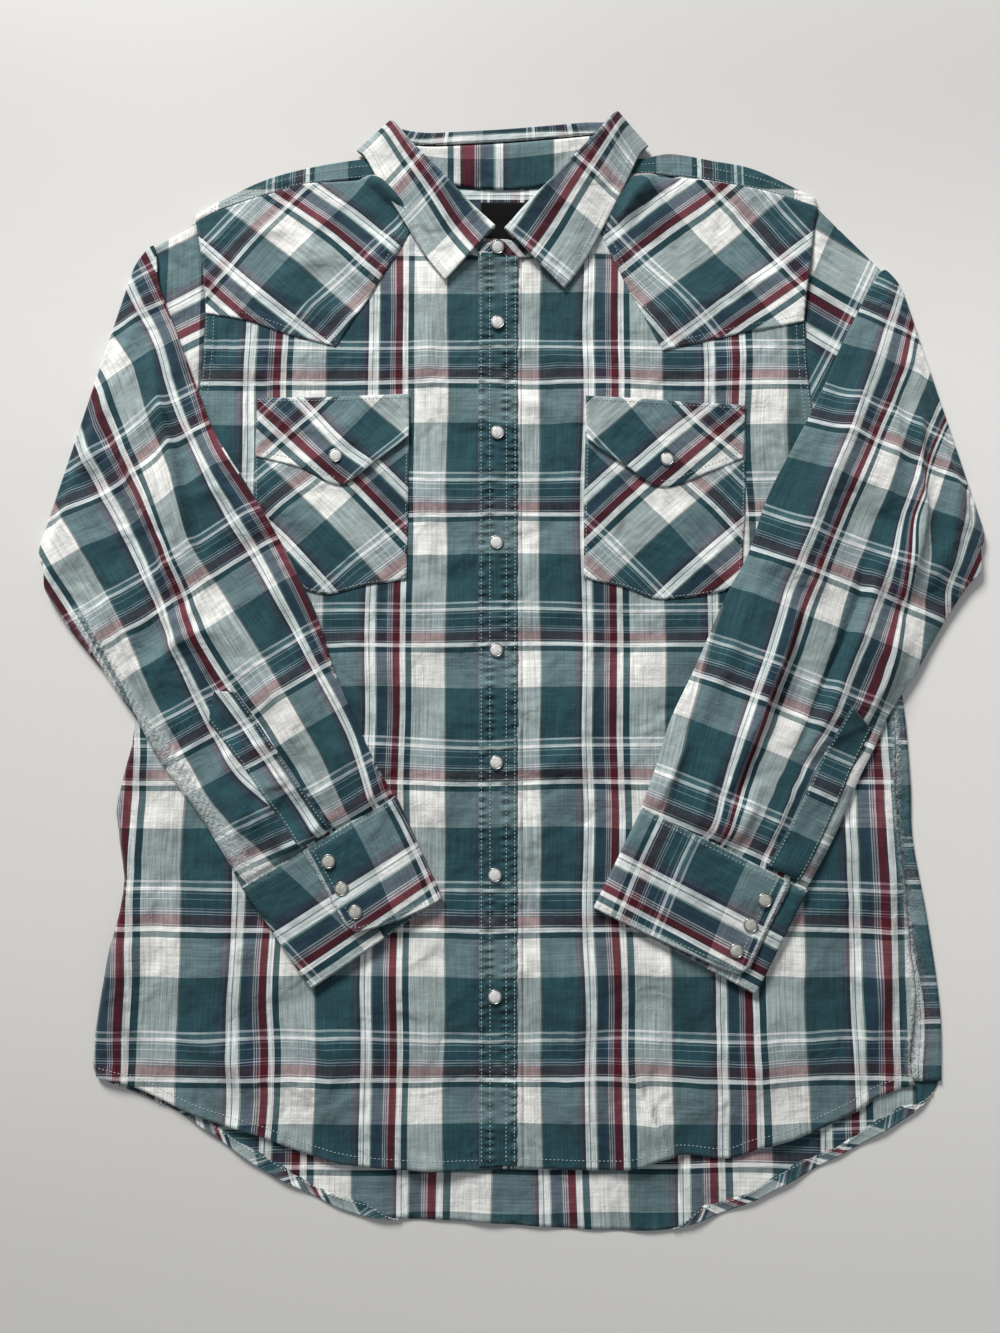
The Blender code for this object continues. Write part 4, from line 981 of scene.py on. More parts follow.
def make_hem_turn(side, count=220, across=7):
    """The back hem's edge where it lies turned up."""
    run = line(HEM_BACK, 400)
    first, last = (int(share * len(run)) for share in HEM_TURNS[side])
    edge = spaced(run[first:last], count)
    share = np.linspace(0, 1, across)[:, None]
    s = run_of(edge)
    taper = ease(np.minimum(s, s[-1] - s) / 30) * (0.8 + 0.15 * np.sin(s / 13))
    xy = edge + sideways(edge) * (share * HEM_TURN_WIDE * taper + 0.2)[..., None]
    crinkle = np.sin(s / 3.9 + 1.5 * np.sin(s / 21)) * share
    z = back_rise(xy)[0] + 0.9 + 0.35 * crinkle - 0.5 * edge_drop((1 - share) * HEM_TURN_WIDE, 1.5)
    slant = 10 * share
    chart = pair(1.15 * (s + slant) + 20, 1.15 * (s - slant) + 8)
    # paler along the turned edge from wear; along the crinkles paler crests (rubbed wear, also painted light) and
    # darker troughs (painted shade)
    cloth("hem_turn_" + side, np.dstack([xy, z]), chart,
          wear_and_shade=0.5 * np.exp(-share * 6) + 0.25 * crinkle, nodes=())
    seam = np.hstack([xy[-2], z[-2][:, None] + 0.25])
    stitches("hem_turn_stitches_" + side, [seam], thick=0.3)


def yoke_chart(xy, strip):
    x, y = xy[..., 0], xy[..., 1]
    neck = ease((100 - np.abs(x)) / 12) * (1 - strip)
    return pair(mix(y - 357, y - 315, neck), mix(table(YOKE_ALONG, x), table(YOKE_ALONG_NECK, x), neck))


def neck_lift(xy):
    """The back yoke and its label lie a little higher at the neck."""
    return 1.4 * ease((xy[..., 1] - 350) / 22)


def make_back_yoke(rows=60, sides=36, middle=60, wrap=8, over=12):
    fold_right, neck, fold_left = line(FOLD_RIGHT, sides), line(NECK_BACK, middle), line(FOLD_LEFT, sides)
    top = np.vstack([fold_right[:-1], neck, fold_left[1:]])
    count = len(top)
    first = line(YOKE_SEAM_BACK[:1] + [(-256, 330)] + FOLD_RIGHT[:1], rows)
    last = line(YOKE_SEAM_BACK[-1:] + [(246, 336)] + FOLD_LEFT[-1:], rows)
    xy = patch(yoke_seam_back(count), top, first, last)
    flat = np.dstack([xy, 0.35 + neck_lift(xy) * ease((150 - np.abs(xy[..., 0] + 8)) / 22)])
    seams = np.vstack([line(SEAM_RIGHT, sides)[:-1], np.repeat([SEAM_RIGHT[-1]], middle, 0),
                       line(SEAM_LEFT, sides)[1:]])
    seams[sides + middle - 2] = SEAM_LEFT[0]
    # over the shoulders to the seam on the front
    edge = flat[-1].copy()
    out = unit(edge[:, :2] - seams)
    radius = (bed(edge[:, 0]) + WALL - edge[:, 2]) / 2
    column = np.arange(count)
    left_shoulder = column >= sides + middle - 2
    base = edge.copy()
    base[:, :2] -= out * (radius * ((column < sides) | left_shoulder))[:, None]
    flat[-1] = base
    turned = []
    for a in np.linspace(0, math.pi, wrap + 2)[1:]:
        p = base.copy()
        p[:, :2] += out * (radius * math.sin(a))[:, None]
        p[:, 2] += radius * (1 - math.cos(a))
        turned.append(p)
    for t in np.arange(1, over + 1) / over:
        p = mix(base[:, :2], seams, t)
        z = bed(p[:, 0]) + WALL + 0.9 * ease(t * 2) + pucker(p, seams[:sides], 7, 0.3, 8)
        z += 0.5 * np.sin(p[:, 0] / 11) * ease(t * 2) * ease((1 - t) * 3)
        turned.append(np.hstack([p, z[:, None]]))
    points = np.concatenate([flat, np.stack(turned)])
    on_strip = (np.arange(len(points)) >= rows)[:, None]
    chart = yoke_chart(points[..., :2], on_strip)
    keep = np.ones((len(points) - 1, count - 1), bool)
    keep[rows - 1:] = ((column < sides - 1) | left_shoulder)[:-1]
    spread = points[..., :2].copy()
    spread[rows:, :, 1] = 2 * edge[None, :, 1] - spread[rows:, :, 1]
    cloth("back_yoke", points, chart, keep=keep, flip=True)
    strip = points[rows + wrap + 1:] + (0, 0, 0.12)
    parts = ((3, sides - 2), (sides + middle, count - 4))
    stitches("shoulder_stitches", [grid_line(strip, np.full(160, over * t), np.linspace(a, b, 160))
                                   for t in SHOULDER_ROWS for a, b in parts], thick=0.3)


def make_overlay(name, edges, chart_lines, rise, sewn, across, rows, swelling, loose=()):
    """A piece sewn on the fronts, edged by a row of stitching."""
    low = line(edges["low"], across)
    xy = patch(low, line(edges["top"], across), line(edges["outer"], rows), line(edges["inner"], rows))
    z = front_top(xy) + rise
    edge = np.full(z.shape, 1e9)
    for key in sewn:
        seam = line(edges[key], 30)
        edge = np.minimum(edge, nearest(xy, seam)[0])
        z += pucker(xy, seam, 6.5, 0.22, 6)
    z += raised_hem(edge, 6, 2.5, 0.28) - 0.22 * np.exp(-(edge - WIDE_ROW) ** 2)
    z -= 0.45 * edge_drop(edge, 1.6)
    z += swelling * ease(edge / 18) + swell(xy, int(abs(low[0, 0])), 42, 0.3) * ease(edge / 12)
    for height, reach, points in loose:
        z += height * np.exp(-(nearest(xy, line(points, 12))[0] / reach) ** 2)
    cloth(name, np.dstack([xy, z]), chart_of(chart_lines, xy), wall=DOUBLE,
          wear_and_shade=0.35 * np.exp(-edge), flip=low.mean(0)[0] > 0)


def make_placket(rows=600, across=21):
    p = PLACKET
    y = np.linspace(p["bottom"], p["top"], rows)[:, None]
    t = (y - p["bottom"]) / (p["top"] - p["bottom"])
    share = np.linspace(0, 1, across)[None]
    x = mix(mix(p["right_low"], p["right_top"], t), mix(p["left_low"], p["left_top"], t), share)
    xy = np.dstack([x, np.broadcast_to(y, x.shape)])
    ripple = np.zeros(x.shape)
    for place, seed in PLACKET_SEAMS:
        s = y + 3 * np.sin(y / 19 + seed) + 2 * np.sin(y / 7.3 + seed)
        strength = 0.6 + 0.4 * np.sin(y / 27 + 2 * seed)
        ripple += strength * np.sin(math.tau * s / 7.4 + seed) * np.exp(-((share - place) / 0.12) ** 2)
    # the snaps hold the placket flat
    to_snap = np.min([np.hypot(xy[..., 0] - a, xy[..., 1] - b) for a, b in FRONT_SNAPS], axis=0)
    ripple *= 0.15 + 0.85 * ease((to_snap - 5) / 6)
    z = front_top(xy) + 1.25 + 0.62 * ripple + 0.4 * swell(xy, 33, 24, 1.0) * ease((to_snap - 4) / 8)
    for place, seed in PLACKET_SEAMS:
        z -= 0.2 * np.exp(-((share - place) / 0.035) ** 2)
    edge = np.minimum(share, 1 - share) * 31
    z += 2.2 * ease((y - 300) / 28) - 0.7 * edge_drop(edge, 1.6)
    chart = pair(mix(29.5, 57.0, share) + 0 * y + swell(xy, 31, 60, 0.5), body_weft(xy))
    points = np.dstack([xy, z])
    # worn, paler edges; along the ripples the colour is paler on the crests (rubbed wear, also painted light) and
    # darker in the troughs (painted shade)
    cloth("placket", points, chart, wall=DOUBLE, wear_and_shade=0.3 * np.exp(-edge) + 0.34 * ripple)
    return points


def make_label(rows=20, across=24):
    xy = np.dstack(np.meshgrid(np.linspace(LABEL["right"], LABEL["left"], across),
                               np.linspace(LABEL["bottom"], LABEL["top"], rows)))
    z = 1.9 + neck_lift(xy) + swell(xy, 41, 22, 0.15)
    cloth("neck_label", np.dstack([xy, z]), xy, wall=0.4, material=WEAVE_BLACK)


# ---- collar ----------------------------------------------------------------------

def collar_sections(count):
    folds = rows_of([f for f, e in COLLAR], count)
    edges = rows_of([e for f, e in COLLAR], count)
    edges[:, 2] = np.maximum(edges[:, 2], 0.5)
    down = unit(edges - folds)
    away = unit(np.cross(unit(np.gradient(folds + edges, axis=0)), down))
    return folds, edges, down, away


def make_collar(count=300, leaf=34):
    folds, edges, down, away = collar_sections(count)
    place = np.linspace(0, len(COLLAR) - 1, count)
    inside = folds - away * ROLL
    columns = [inside + down * mix(LIP, ROLL / 2, k / 4) for k in range(5)]
    centre = folds - away * ROLL / 2 + down * ROLL / 2
    for angle in np.linspace(0, math.pi, 9)[1:-1]:
        columns.append(centre - away * math.cos(angle) * ROLL / 2 - down * math.sin(angle) * ROLL / 2)
    start = folds + down * ROLL / 2
    sag = 1 + 3 * ease(-away[:, 2])
    first_leaf = len(columns)
    for k in range(leaf + 1):
        t = k / leaf
        p = mix(start, edges, t)
        p[:, 2] = edges[:, 2] + (start[:, 2] - edges[:, 2]) * (1 - t) ** sag
        columns.append(p)
    points = np.stack(columns)                       # across, along
    width = np.linalg.norm(edges - start, axis=1)
    from_edge = (1 - np.linspace(0, 1, leaf + 1)[:, None]) * width[None]
    run = run_of(edges)
    from_tip = np.minimum(run, run[-1] - run)[None]
    d = np.minimum(from_edge, from_tip)
    lift = raised_hem(d, 6.3, 2) - 0.3 * np.exp(-((d - COLLAR_ROW) / 0.9) ** 2) - 0.4 * edge_drop(d, 1.6)
    s = np.where(from_edge < from_tip, run[None], from_edge)
    lift += 0.16 * np.sin(s / 1.15 + np.sin(s / 9)) * np.exp(-d / 8)
    leaf_xy = points[first_leaf:, :, :2]
    lift += swell(leaf_xy, 51, 40, 0.35) * ease(d / 10)
    front = ease((place - 5.5) / -1.0) + ease((place - 12.5) / 1.0)
    points[first_leaf:, :, 2] += lift * np.maximum(front[None], 0.2)
    at_fold, at_edge, along_fold, along_edge = rows_of(COLLAR_CHART, count).T
    t = np.linspace(0, 1, leaf + 1)[:, None]
    leaf_chart = pair(mix(at_fold, at_edge, t), mix(along_fold, along_edge, t))
    back = np.linalg.norm(np.diff(points[:first_leaf + 1], axis=0), axis=2)
    back = np.cumsum(back[::-1], axis=0)[::-1]
    roll_chart = pair(at_fold - back, along_fold + 0 * back)
    wear_and_shade = np.zeros(points.shape[:2])
    wear_and_shade[first_leaf:] = 0.5 * np.exp(-d / 1.2)
    wear_and_shade[first_leaf - 5:first_leaf + 1] = 0.30
    cloth("collar", points, np.concatenate([roll_chart, leaf_chart]),
          wall=1.2, offset=0.0,
          wear_and_shade=wear_and_shade)
    return points[first_leaf:]


def make_stand(count=260, tall=14, extra=16):
    folds, edges, down, away = collar_sections(count)
    step = (np.arange(extra) / extra)[:, None]
    both = rows_of(STAND_FOOT, count), folds - away * ROLL + down * (LIP + 1.9)
    feet, heads = (np.vstack([mix(np.array(under), row[0], step), row,
                              mix(row[-1], np.array(over), step + 1 / extra)])
                   for row, under, over in zip(both, STAND_UNDER_END, STAND_OVER_END))
    t = np.linspace(0, 1, tall)[:, None]
    points = mix(feet[None], heads[None], t[..., None])
    x, y = points[..., 0], points[..., 1]
    # the plaid is on the bias at the two ends in front
    front = ease((350 - y) / 10)
    chart = pair(mix(table(STAND_CHART, x), 84 + 0.7 * (x + y - 320), front),
                 mix(mix(96, 50, t), 26 + 0.7 * (x - y + 320), front))
    cloth("collar_stand", points, chart, wall=1.0,
          offset=0.0)


# ---- sleeves ---------------------------------------------------------------------

def ring(across, up, height=TUBE, turns=7):
    """The outside of a flattened ring about a line: wall A, the far end, wall B, the near end."""
    half = height / 2
    first = across[1] - across[0]
    last = across[-1] - across[-2]
    first, last = first / np.linalg.norm(first), last / np.linalg.norm(last)
    middle = across.copy()
    middle[0] += first * half
    middle[-1] -= last * half
    angles = np.linspace(0, math.pi, turns + 2)[1:-1]
    far = [middle[-1] + up * half * math.cos(a) + last * half * math.sin(a) for a in angles]
    near = [middle[0] - up * half * math.cos(a) - first * half * math.sin(a) for a in angles]
    return np.vstack([middle + up * half, far, middle[::-1] - up * half, near, middle[:1] + up * half])


def mirrored(xy, fold):
    """Points turned over to the other side of a fold line."""
    a, b = (np.array(p, float) for p in fold)
    along = (b - a) / np.linalg.norm(b - a)
    off = xy - a
    return a + 2 * (off @ along)[..., None] * along - off


def sleeve_over(side):
    data = SLEEVES[side]
    height = TUBE * 1.5 + TUBE_GAP
    crest = [(*data["outer_fold"][0], height)] + [c for c, u in data["over"]]
    under = [(*data["outer_fold"][1], height)] + [u for c, u in data["over"]]
    return crest, under


def sleeve_lift(side, xy):
    """Folds on the upper wall of the folded-over sleeve."""
    seed = len(side)
    lift = 1.3 * creases(xy, SLEEVE_FOLDS[side]) + swell(xy, 61 + seed, 70, 1.2) + crumple(xy, 71 + seed, 62, 3.2)
    crest, under = sleeve_over(side)
    d, sign, along, length = nearest(xy, [crest[-1][:2], under[-1][:2]])
    s = along * length
    return lift + 0.9 * np.sin(s / 4.3 + 1.5 * np.sin(s / 17)) * np.exp(-d / 20)


def make_sleeve(side, lower=12, bend=12, over=180, across=66):
    data = SLEEVES[side]
    up = np.array([0, 0, 1.0])
    out = np.array([data["outward"], 0, 0.0])
    armhole = line(data["armhole"][::-1], across)
    root = np.hstack([armhole, np.full((across, 1), TUBE / 2)]) + out * 0.3
    fold = [np.array((*p, TUBE / 2), float) for p in data["outer_fold"]]
    radius = (TUBE + TUBE_GAP) / 2
    fold = [p - out * (radius + TUBE / 2) for p in fold]
    share = np.linspace(0, 1, across)[:, None]
    crease = mix(fold[0], fold[1], share)
    tuck = 8.0 * np.clip(1 - share / 0.09, 0, 1) ** 2 + 6.0 * np.clip(1 - (1 - share) / 0.06, 0, 1) ** 2
    crease = crease - out * tuck
    rings, over_part = [], []
    for t in np.linspace(0, 1, lower):
        rings.append(ring(mix(root, crease, t), up))
        over_part.append(0.0)
    for a in np.linspace(0, math.pi, bend + 2)[1:-1]:
        shift = out * radius * math.sin(a) + up * radius * (1 - math.cos(a))
        rings.append(ring(crease + shift, up * math.cos(a) - out * math.sin(a)))
        over_part.append(a / math.pi)
    crest, under = sleeve_over(side)
    crest = [tuple(fold[0] + up * 2 * radius)] + crest[1:]
    under = [tuple(fold[1] + up * 2 * radius)] + under[1:]
    cuff = CUFFS[side]
    into = np.array([*np.subtract(cuff["crest_mouth"], cuff["crest"]), 0.0])
    into *= INTO_CUFF / np.linalg.norm(into)
    crest[-1], under[-1] = (tuple(np.array(p) + into + up * h) for p, h in ((crest[-1], 0.3), (under[-1], 1.0)))
    for k, (c, u) in enumerate(zip(rows_of(crest, over), rows_of(under, over))):
        rings.append(ring(mix(c, u, share) - out * tuck * (1 - ease(k / 16)), -up))
        over_part.append(1.0)
    points = np.stack(rings)
    over_part = np.array(over_part)
    columns = points.shape[1]
    turns = (columns - 1 - 2 * across) // 2
    wall_b = np.zeros(columns)
    wall_b[across:2 * across + turns + 1] = 1
    # how far from the ring's two ends
    t = np.zeros(columns)
    t[:across] = np.linspace(0, 1, across)
    t[across:across + turns] = 1
    t[across + turns:2 * across + turns] = np.linspace(1, 0, across)
    inner = ease(np.minimum(t, 1 - t) * 9)
    puff = 3.0 * np.sqrt(np.clip(4 * t * (1 - t), 0, 1))
    xy = points[..., :2]
    is_over = over_part == 1
    lift = np.zeros(points.shape[:2])
    b = slice(across + turns, 2 * across + turns)
    lift[is_over, b] = sleeve_lift(side, xy[is_over, b]) * inner[b] + puff[b]
    count = np.arange(is_over.sum())
    ramp = (ease(count / 12) * (0.1 + 0.9 * ease((count[::-1] - 1.5) / 3.5)))[:, None]
    lift[is_over, b] *= ramp
    lower_rows = over_part == 0
    cap_ramp = ease(np.arange(lower) / 4)[:, None] * ease((lower - 1 - np.arange(lower)) / 3)[:, None]
    cap = swell(xy[lower_rows, :across], 81, 34, 0.5)
    cap += pucker(xy[lower_rows, :across], line(data["armhole"], 30), 8, 0.5, 9)
    lift[lower_rows, :across] = np.clip(cap, -0.3, 0.7) * inner[:across] * cap_ramp
    if side == "right":
        seam = line(SLEEVE_SEAM_RIGHT, 60)
        d, _, along, length = nearest(xy[is_over, b], seam)
        s = along * length
        slant = (s + 0.8 * d * _) / 0.95 + 1.3 * np.sin(s / 6) + 0.9 * np.sin(s / 17)
        ridge = np.exp(-(d / 7.0) ** 4) * (0.8 + 0.75 * np.sin(slant))
        lift[is_over, b] += ridge * ramp
    points[..., 2] += lift
    # the plaid, read on the sleeve as if it were not folded over
    outer = data["outer_fold"]
    low_xy = mirrored(xy, outer)
    turned = (over_part >= 0.5)[:, None, None]
    chart_b = chart_of((SLEEVE_WARP[side], SLEEVE_WEFT[side]), np.where(turned, xy, low_xy))
    chart_a = chart_of((CAP_WARP[side], CAP_WEFT[side]), np.where(turned, low_xy, xy), 0.3)
    chart = np.where((wall_b == 1)[None, :, None], chart_b, chart_a)
    # round the crest the plaid of the upper wall runs on
    near = slice(2 * across + turns, columns)
    chart[:, near] = chart_b[:, 2 * across + turns - 1:2 * across + turns]
    chart[:, across:across + turns] = chart_b[:, across + turns:across + turns + 1]
    wear_and_shade = np.zeros(points.shape[:2])
    if side == "right":
        wear_and_shade[is_over, b] = np.exp(-(d / 7) ** 4) * ramp
    length = float(run_of(points[:, across // 2])[-1]) * 1.12 * MM
    cloth("sleeve_" + side, points, chart,
          weld=True, wear_and_shade=wear_and_shade, flip=data["outward"] < 0)
    return points[is_over][:, b]


def make_sleeve_placket(side, top, rows=90, across=15):
    """The strip over the sleeve's slit; top is the sleeve's upper wall, row by row."""
    data = SLEEVE_PLACKETS[side]
    grid = []
    for j in range(rows):
        t = j / (rows - 1)
        first = mix(data["across_start"][0], data["across_end"][0], t)
        last = mix(data["across_start"][1], data["across_end"][1], t)
        spread = np.linspace(0, 1, across)
        peak = data["point"] * (1 - t) * (1 - np.abs(2 * spread - 1))
        along = np.maximum(0, mix(data["start"], data["end"], t) - peak)
        share = mix(first, last, spread)
        grid.append(grid_line(top, along * (top.shape[0] - 1), (1 - share) * (top.shape[1] - 1)))
    points = np.stack(grid)
    share = np.linspace(0, 1, across)[None]
    run = run_of(points[:, across // 2])[:, None]
    points[..., 2] += 0.95 + 0.16 * np.sin(run / 1.15) * np.exp(-(np.minimum(share, 1 - share) / 0.12) ** 2)
    points[..., 2] -= 0.45 * edge_drop(np.minimum(share, 1 - share) * 24, 1.6)
    first, last, shift = SLEEVE_PLACKET_PLAID[side]
    chart = pair(mix(first, last, share) + 0 * run, stripe_field(SLEEVE_WEFT[side])(points[..., :2]) + shift)
    cloth("sleeve_placket_" + side, points, chart,
          wall=DOUBLE, wear_and_shade=0.35 * np.exp(-np.minimum(share, 1 - share) * 24 / 1.2) + 0 * run,
          flip=side == "right")
    return points


# ---- cuffs -----------------------------------------------------------------------

def cuff_path(crest, under, data):
    """The middle of the cuff's wall in one section: from its lapped end, round, and back."""
    up = np.array([0, 0, 1.0])
    along = (under - crest) / np.linalg.norm(under - crest)
    over = CUFF_WALL + 0.3
    half = (CUFF_TUBE - CUFF_WALL - over) / 2
    low_z = -(CUFF_TUBE - CUFF_WALL) / 2
    lap, tuck = mix(crest, under, data["lap"]), mix(crest, under, data["lap"] - data["tuck"])
    middle = low_z + half
    a, b = crest + along * half, under - along * half
    points = []
    for t in np.linspace(0, 1, CUFF_LAP_COLUMNS):
        lift = over * (1 - ease((t - 0.35) / 0.5))
        points.append(mix(lap, a, t) + up * (low_z + 2 * half + lift))
    for angle in np.linspace(0, math.pi, 10)[1:-1]:
        points.append(a + up * (middle + half * math.cos(angle)) - along * half * math.sin(angle))
    points += [mix(a, b, t) + up * low_z for t in np.linspace(0, 1, 34)]
    for angle in np.linspace(0, math.pi, 10)[1:-1]:
        points.append(b + up * (middle - half * math.cos(angle)) + along * half * math.sin(angle))
    points += [mix(b, tuck, t) + up * (low_z + 2 * half) for t in np.linspace(0, 1, 22)]
    return np.array(points)


def make_cuff(side, rows=40):
    data = CUFFS[side]
    height = (0, 0, data["z"])
    crest, crest_mouth = (np.array((*data[k], 0.0)) + height for k in ("crest", "crest_mouth"))
    under, under_mouth = (np.array((*data[k], 0.0)) + height for k in ("under", "under_mouth"))
    first, last = cuff_path(crest, under, data), cuff_path(crest_mouth, under_mouth, data)
    deep = float(np.linalg.norm(crest_mouth - crest))
    # the lapped layer is cut back at the mouth, with a rounded corner
    lapped = np.zeros(len(first))
    lapped[:CUFF_LAP_COLUMNS] = 1 - np.linspace(0, 1, CUFF_LAP_COLUMNS)
    corner = np.clip(1 - run_of(first) / CUFF_CORNER, 0, 1)
    reach = 1 - data["short"] * lapped ** 1.5 - CUFF_CORNER / deep * (1 - np.sqrt(1 - corner ** 2))
    t = np.linspace(0, 1, rows)[:, None] * reach[None]
    points = mix(first[None], last[None], t[..., None])
    run = np.stack([run_of(row) for row in points])
    to_edge = np.minimum(t, reach[None] - t) * deep
    d = np.minimum(to_edge, run)
    top = points[..., 2] > data["z"]
    s = np.where(run < to_edge, t * deep, run)
    lift = 0.22 * np.sin(s / 1.15 + np.sin(s / 8)) * np.exp(-d / 7) - 0.35 * np.exp(-((d - 4.6) / 0.9) ** 2)
    lift += swell(points[..., :2], 91, 34, 0.5) * ease(d / 12) + 0.25 * (1 - ease((d - 6) / 2))
    lift += crumple(points[..., :2], 93, 30, 0.7) * ease(d / 10)
    lift -= 0.5 * edge_drop(d, 1.6) + 1.5 * np.exp(-t * deep / 2.5)
    lift += CUFF_MOUTH_RISE[side] * ease((t / reach - 0.45) / 0.55) * (0.35 + 0.65 * lapped) * (lapped > 0)
    points[..., 2] += np.where(top, lift, 0) * ease((points[..., 2] - data["z"]) / 2)
    start, sign = CUFF_START[side]
    chart = pair(table(CUFF_PLAID, t), start + sign * run)
    # painted shade: the lower wall, seen inside the mouth, shows only the plaid's dark teal
    low = slice(CUFF_LAP_COLUMNS + 8, CUFF_LAP_COLUMNS + 42)
    chart[:, low, 0] = mix(*CUFF_INSIDE_SHADE, t[:, low])
    wear_and_shade = 1.7 * np.exp(-d / 1.3) + 0.25 * np.exp(-((d - 4.6) / 1.2) ** 2)
    cloth("cuff_" + side, points, chart,
          wall=CUFF_WALL, offset=0.0, wear_and_shade=wear_and_shade, flip=side == "right")
    return points


# ---- snaps and stitches ------------------------------------------------------------

def turned_mesh(name, profile, place, tilt, steps=40):
    """A turned shape from its profile of radius and height in millimetres."""
    bm = bmesh.new()
    ends = [bm.verts.new((r * MM, 0, h * MM)) for r, h in profile]
    edges = [bm.edges.new(pair) for pair in zip(ends, ends[1:])]
    bmesh.ops.spin(bm, geom=ends + edges, cent=(0, 0, 0), axis=(0, 0, 1), angle=math.tau, steps=steps,
                   use_merge=True)
    bmesh.ops.remove_doubles(bm, verts=bm.verts, dist=1e-6)
    bmesh.ops.recalc_face_normals(bm, faces=bm.faces)
    turn = Matrix.Translation(Vector(place) * MM) @ Euler(tilt).to_matrix().to_4x4()
    bmesh.ops.transform(bm, matrix=turn, verts=bm.verts)
    return mesh_of(name, bm)


def make_snap(name, place, tilt=(0, 0, 0), pearl=PEARL):
    rim = [(SNAP_EYE - 0.1, 0.3)]
    rim += [(SNAP_RIM - 0.5 + 0.5 * math.cos(a), 0.9 + 0.85 * math.sin(a)) for a in np.linspace(-0.9, 2.6, 12)]
    rim += [(SNAP_EYE - 0.1, 1.2), (SNAP_EYE - 0.1, 0.3)]
    dome = [(0, 0.4), (SNAP_EYE - 0.2, 0.4), (SNAP_EYE - 0.15, 1.25)]
    dome += [((SNAP_EYE - 0.15) * math.cos(a), 1.25 + 0.8 * math.sin(a))
             for a in np.linspace(0.15, math.pi / 2, 9)]
    for part, profile, material, slot in (("rim", rim, METAL, "snap_metal"), ("pearl", dome, pearl, "snap_pearl")):
        node = f"{name}_{part}"
        add_piece(node, turned_mesh(node, profile, place, tilt), material, (node,))


def stitches(name, seams, pitch=3.1, long=2.1, thick=0.27):
    """Rows of separate stitches: each seam is points on the cloth."""
    bm = bmesh.new()
    shape = Matrix.Diagonal((long / 2, thick, thick * 0.75, 1))
    for seam in seams:
        count = max(2, int(run_of(seam)[-1] / pitch))
        places = spaced(seam, count * 2 + 1)
        for j in range(count):
            behind, here, ahead = (Vector(place) for place in places[2 * j:2 * j + 3])
            turn = (ahead - behind).normalized().to_track_quat("X", "Z").to_matrix().to_4x4()
            at = Matrix.Translation((here + Vector((0, 0, 0.12))) * MM)
            bmesh.ops.create_icosphere(bm, subdivisions=1, radius=MM, matrix=at @ turn @ shape)
    add_piece(name, mesh_of(name, bm), THREAD)


def on_front(points, rise, count=200):
    xy = line(points, count) if len(points) > 2 else spaced(points, count)
    return np.hstack([xy, (front_top(xy) + rise)[:, None]])


def inset(points, distance, toward):
    """A line moved sideways by a distance, to the side where the point is."""
    p = line(points, 80)
    side = sideways(p)
    sign = np.sign(((np.array(toward) - p) * side).sum(1).mean())
    return p + side * sign * distance


def grid_line(points, rows, columns):
    """Points on a grid of points, at fractional rows and columns."""
    r = np.clip(rows, 0, points.shape[0] - 1.001)
    c = np.clip(columns, 0, points.shape[1] - 1.001)
    i, j = r.astype(int), c.astype(int)
    a, b = (r - i)[:, None], (c - j)[:, None]
    return mix(mix(points[i, j], points[i + 1, j], a), mix(points[i, j + 1], points[i + 1, j + 1], a), b)


# ---- putting the shirt together ----------------------------------------------------

def make_body():
    make_back()
    for side in HEM_TURNS:
        make_hem_turn(side)
    make_back_yoke()
    sewn = ("low", "inner", "outer")
    for side in ("right", "left"):
        make_front(side)
        make_overlay("front_yoke_" + side, FRONT_YOKES[side], YOKE_CHART[side], 1.05, sewn, 60, 60, 0.3)
        make_overlay("pocket_" + side, POCKETS[side], POCKET_CHART[side], 1.05, sewn, 56, 66, 0.5)
        make_overlay("pocket_flap_" + side, FLAPS[side], FLAP_CHART[side], 2.3, sewn + ("top",), 60, 30, 0.35,
                     loose=[FLAP_LIFT[side]])
    make_label()
    return make_placket()


# outlines, height over the fronts, the middle, and each edge with its row's distance
OVERLAY_ROWS = {
    "front_yoke": (FRONT_YOKES, 1.15, {"right": (-180, 320), "left": (160, 320)},
                   {"low": WIDE_ROW, "inner": WIDE_ROW}),
    "pocket": (POCKETS, 1.2, {"right": (-146, 120), "left": (124, 120)},
               {"low": POCKET_ROW, "inner": POCKET_ROW, "outer": POCKET_ROW}),
    "pocket_flap": (FLAPS, 2.75, {"right": (-146, 180), "left": (124, 180)},
                    {"low": WIDE_ROW, "top": FLAP_TOP_ROW}),
}


def stitch_body(strip):
    for side in ("right", "left"):
        for piece, (outlines, rise, middle, rows) in OVERLAY_ROWS.items():
            seams = [on_front(inset(outlines[side][edge], gap, middle[side]), rise) for edge, gap in rows.items()]
            stitches(f"{piece}_stitches_{side}", seams)
    stitches("armhole_stitches", [on_front(inset(armhole, gap, (0, 250)), 0.1)
                                  for armhole in (ARMHOLE_RIGHT, ARMHOLE_LEFT) for gap in ARMHOLE_ROWS])
    stitches("hem_stitches", [on_front(inset(hem, HEM_ROW, (0, 0)), 0.08)
                              for hem in (HEM_FRONT_RIGHT, HEM_FRONT_LEFT)])
    down = np.linspace(2, len(strip) - 1, 700)
    stitches("placket_stitches", [grid_line(strip, down, np.full(700, place * (strip.shape[1] - 1)))
                                  for place, seed in PLACKET_SEAMS], thick=0.36)


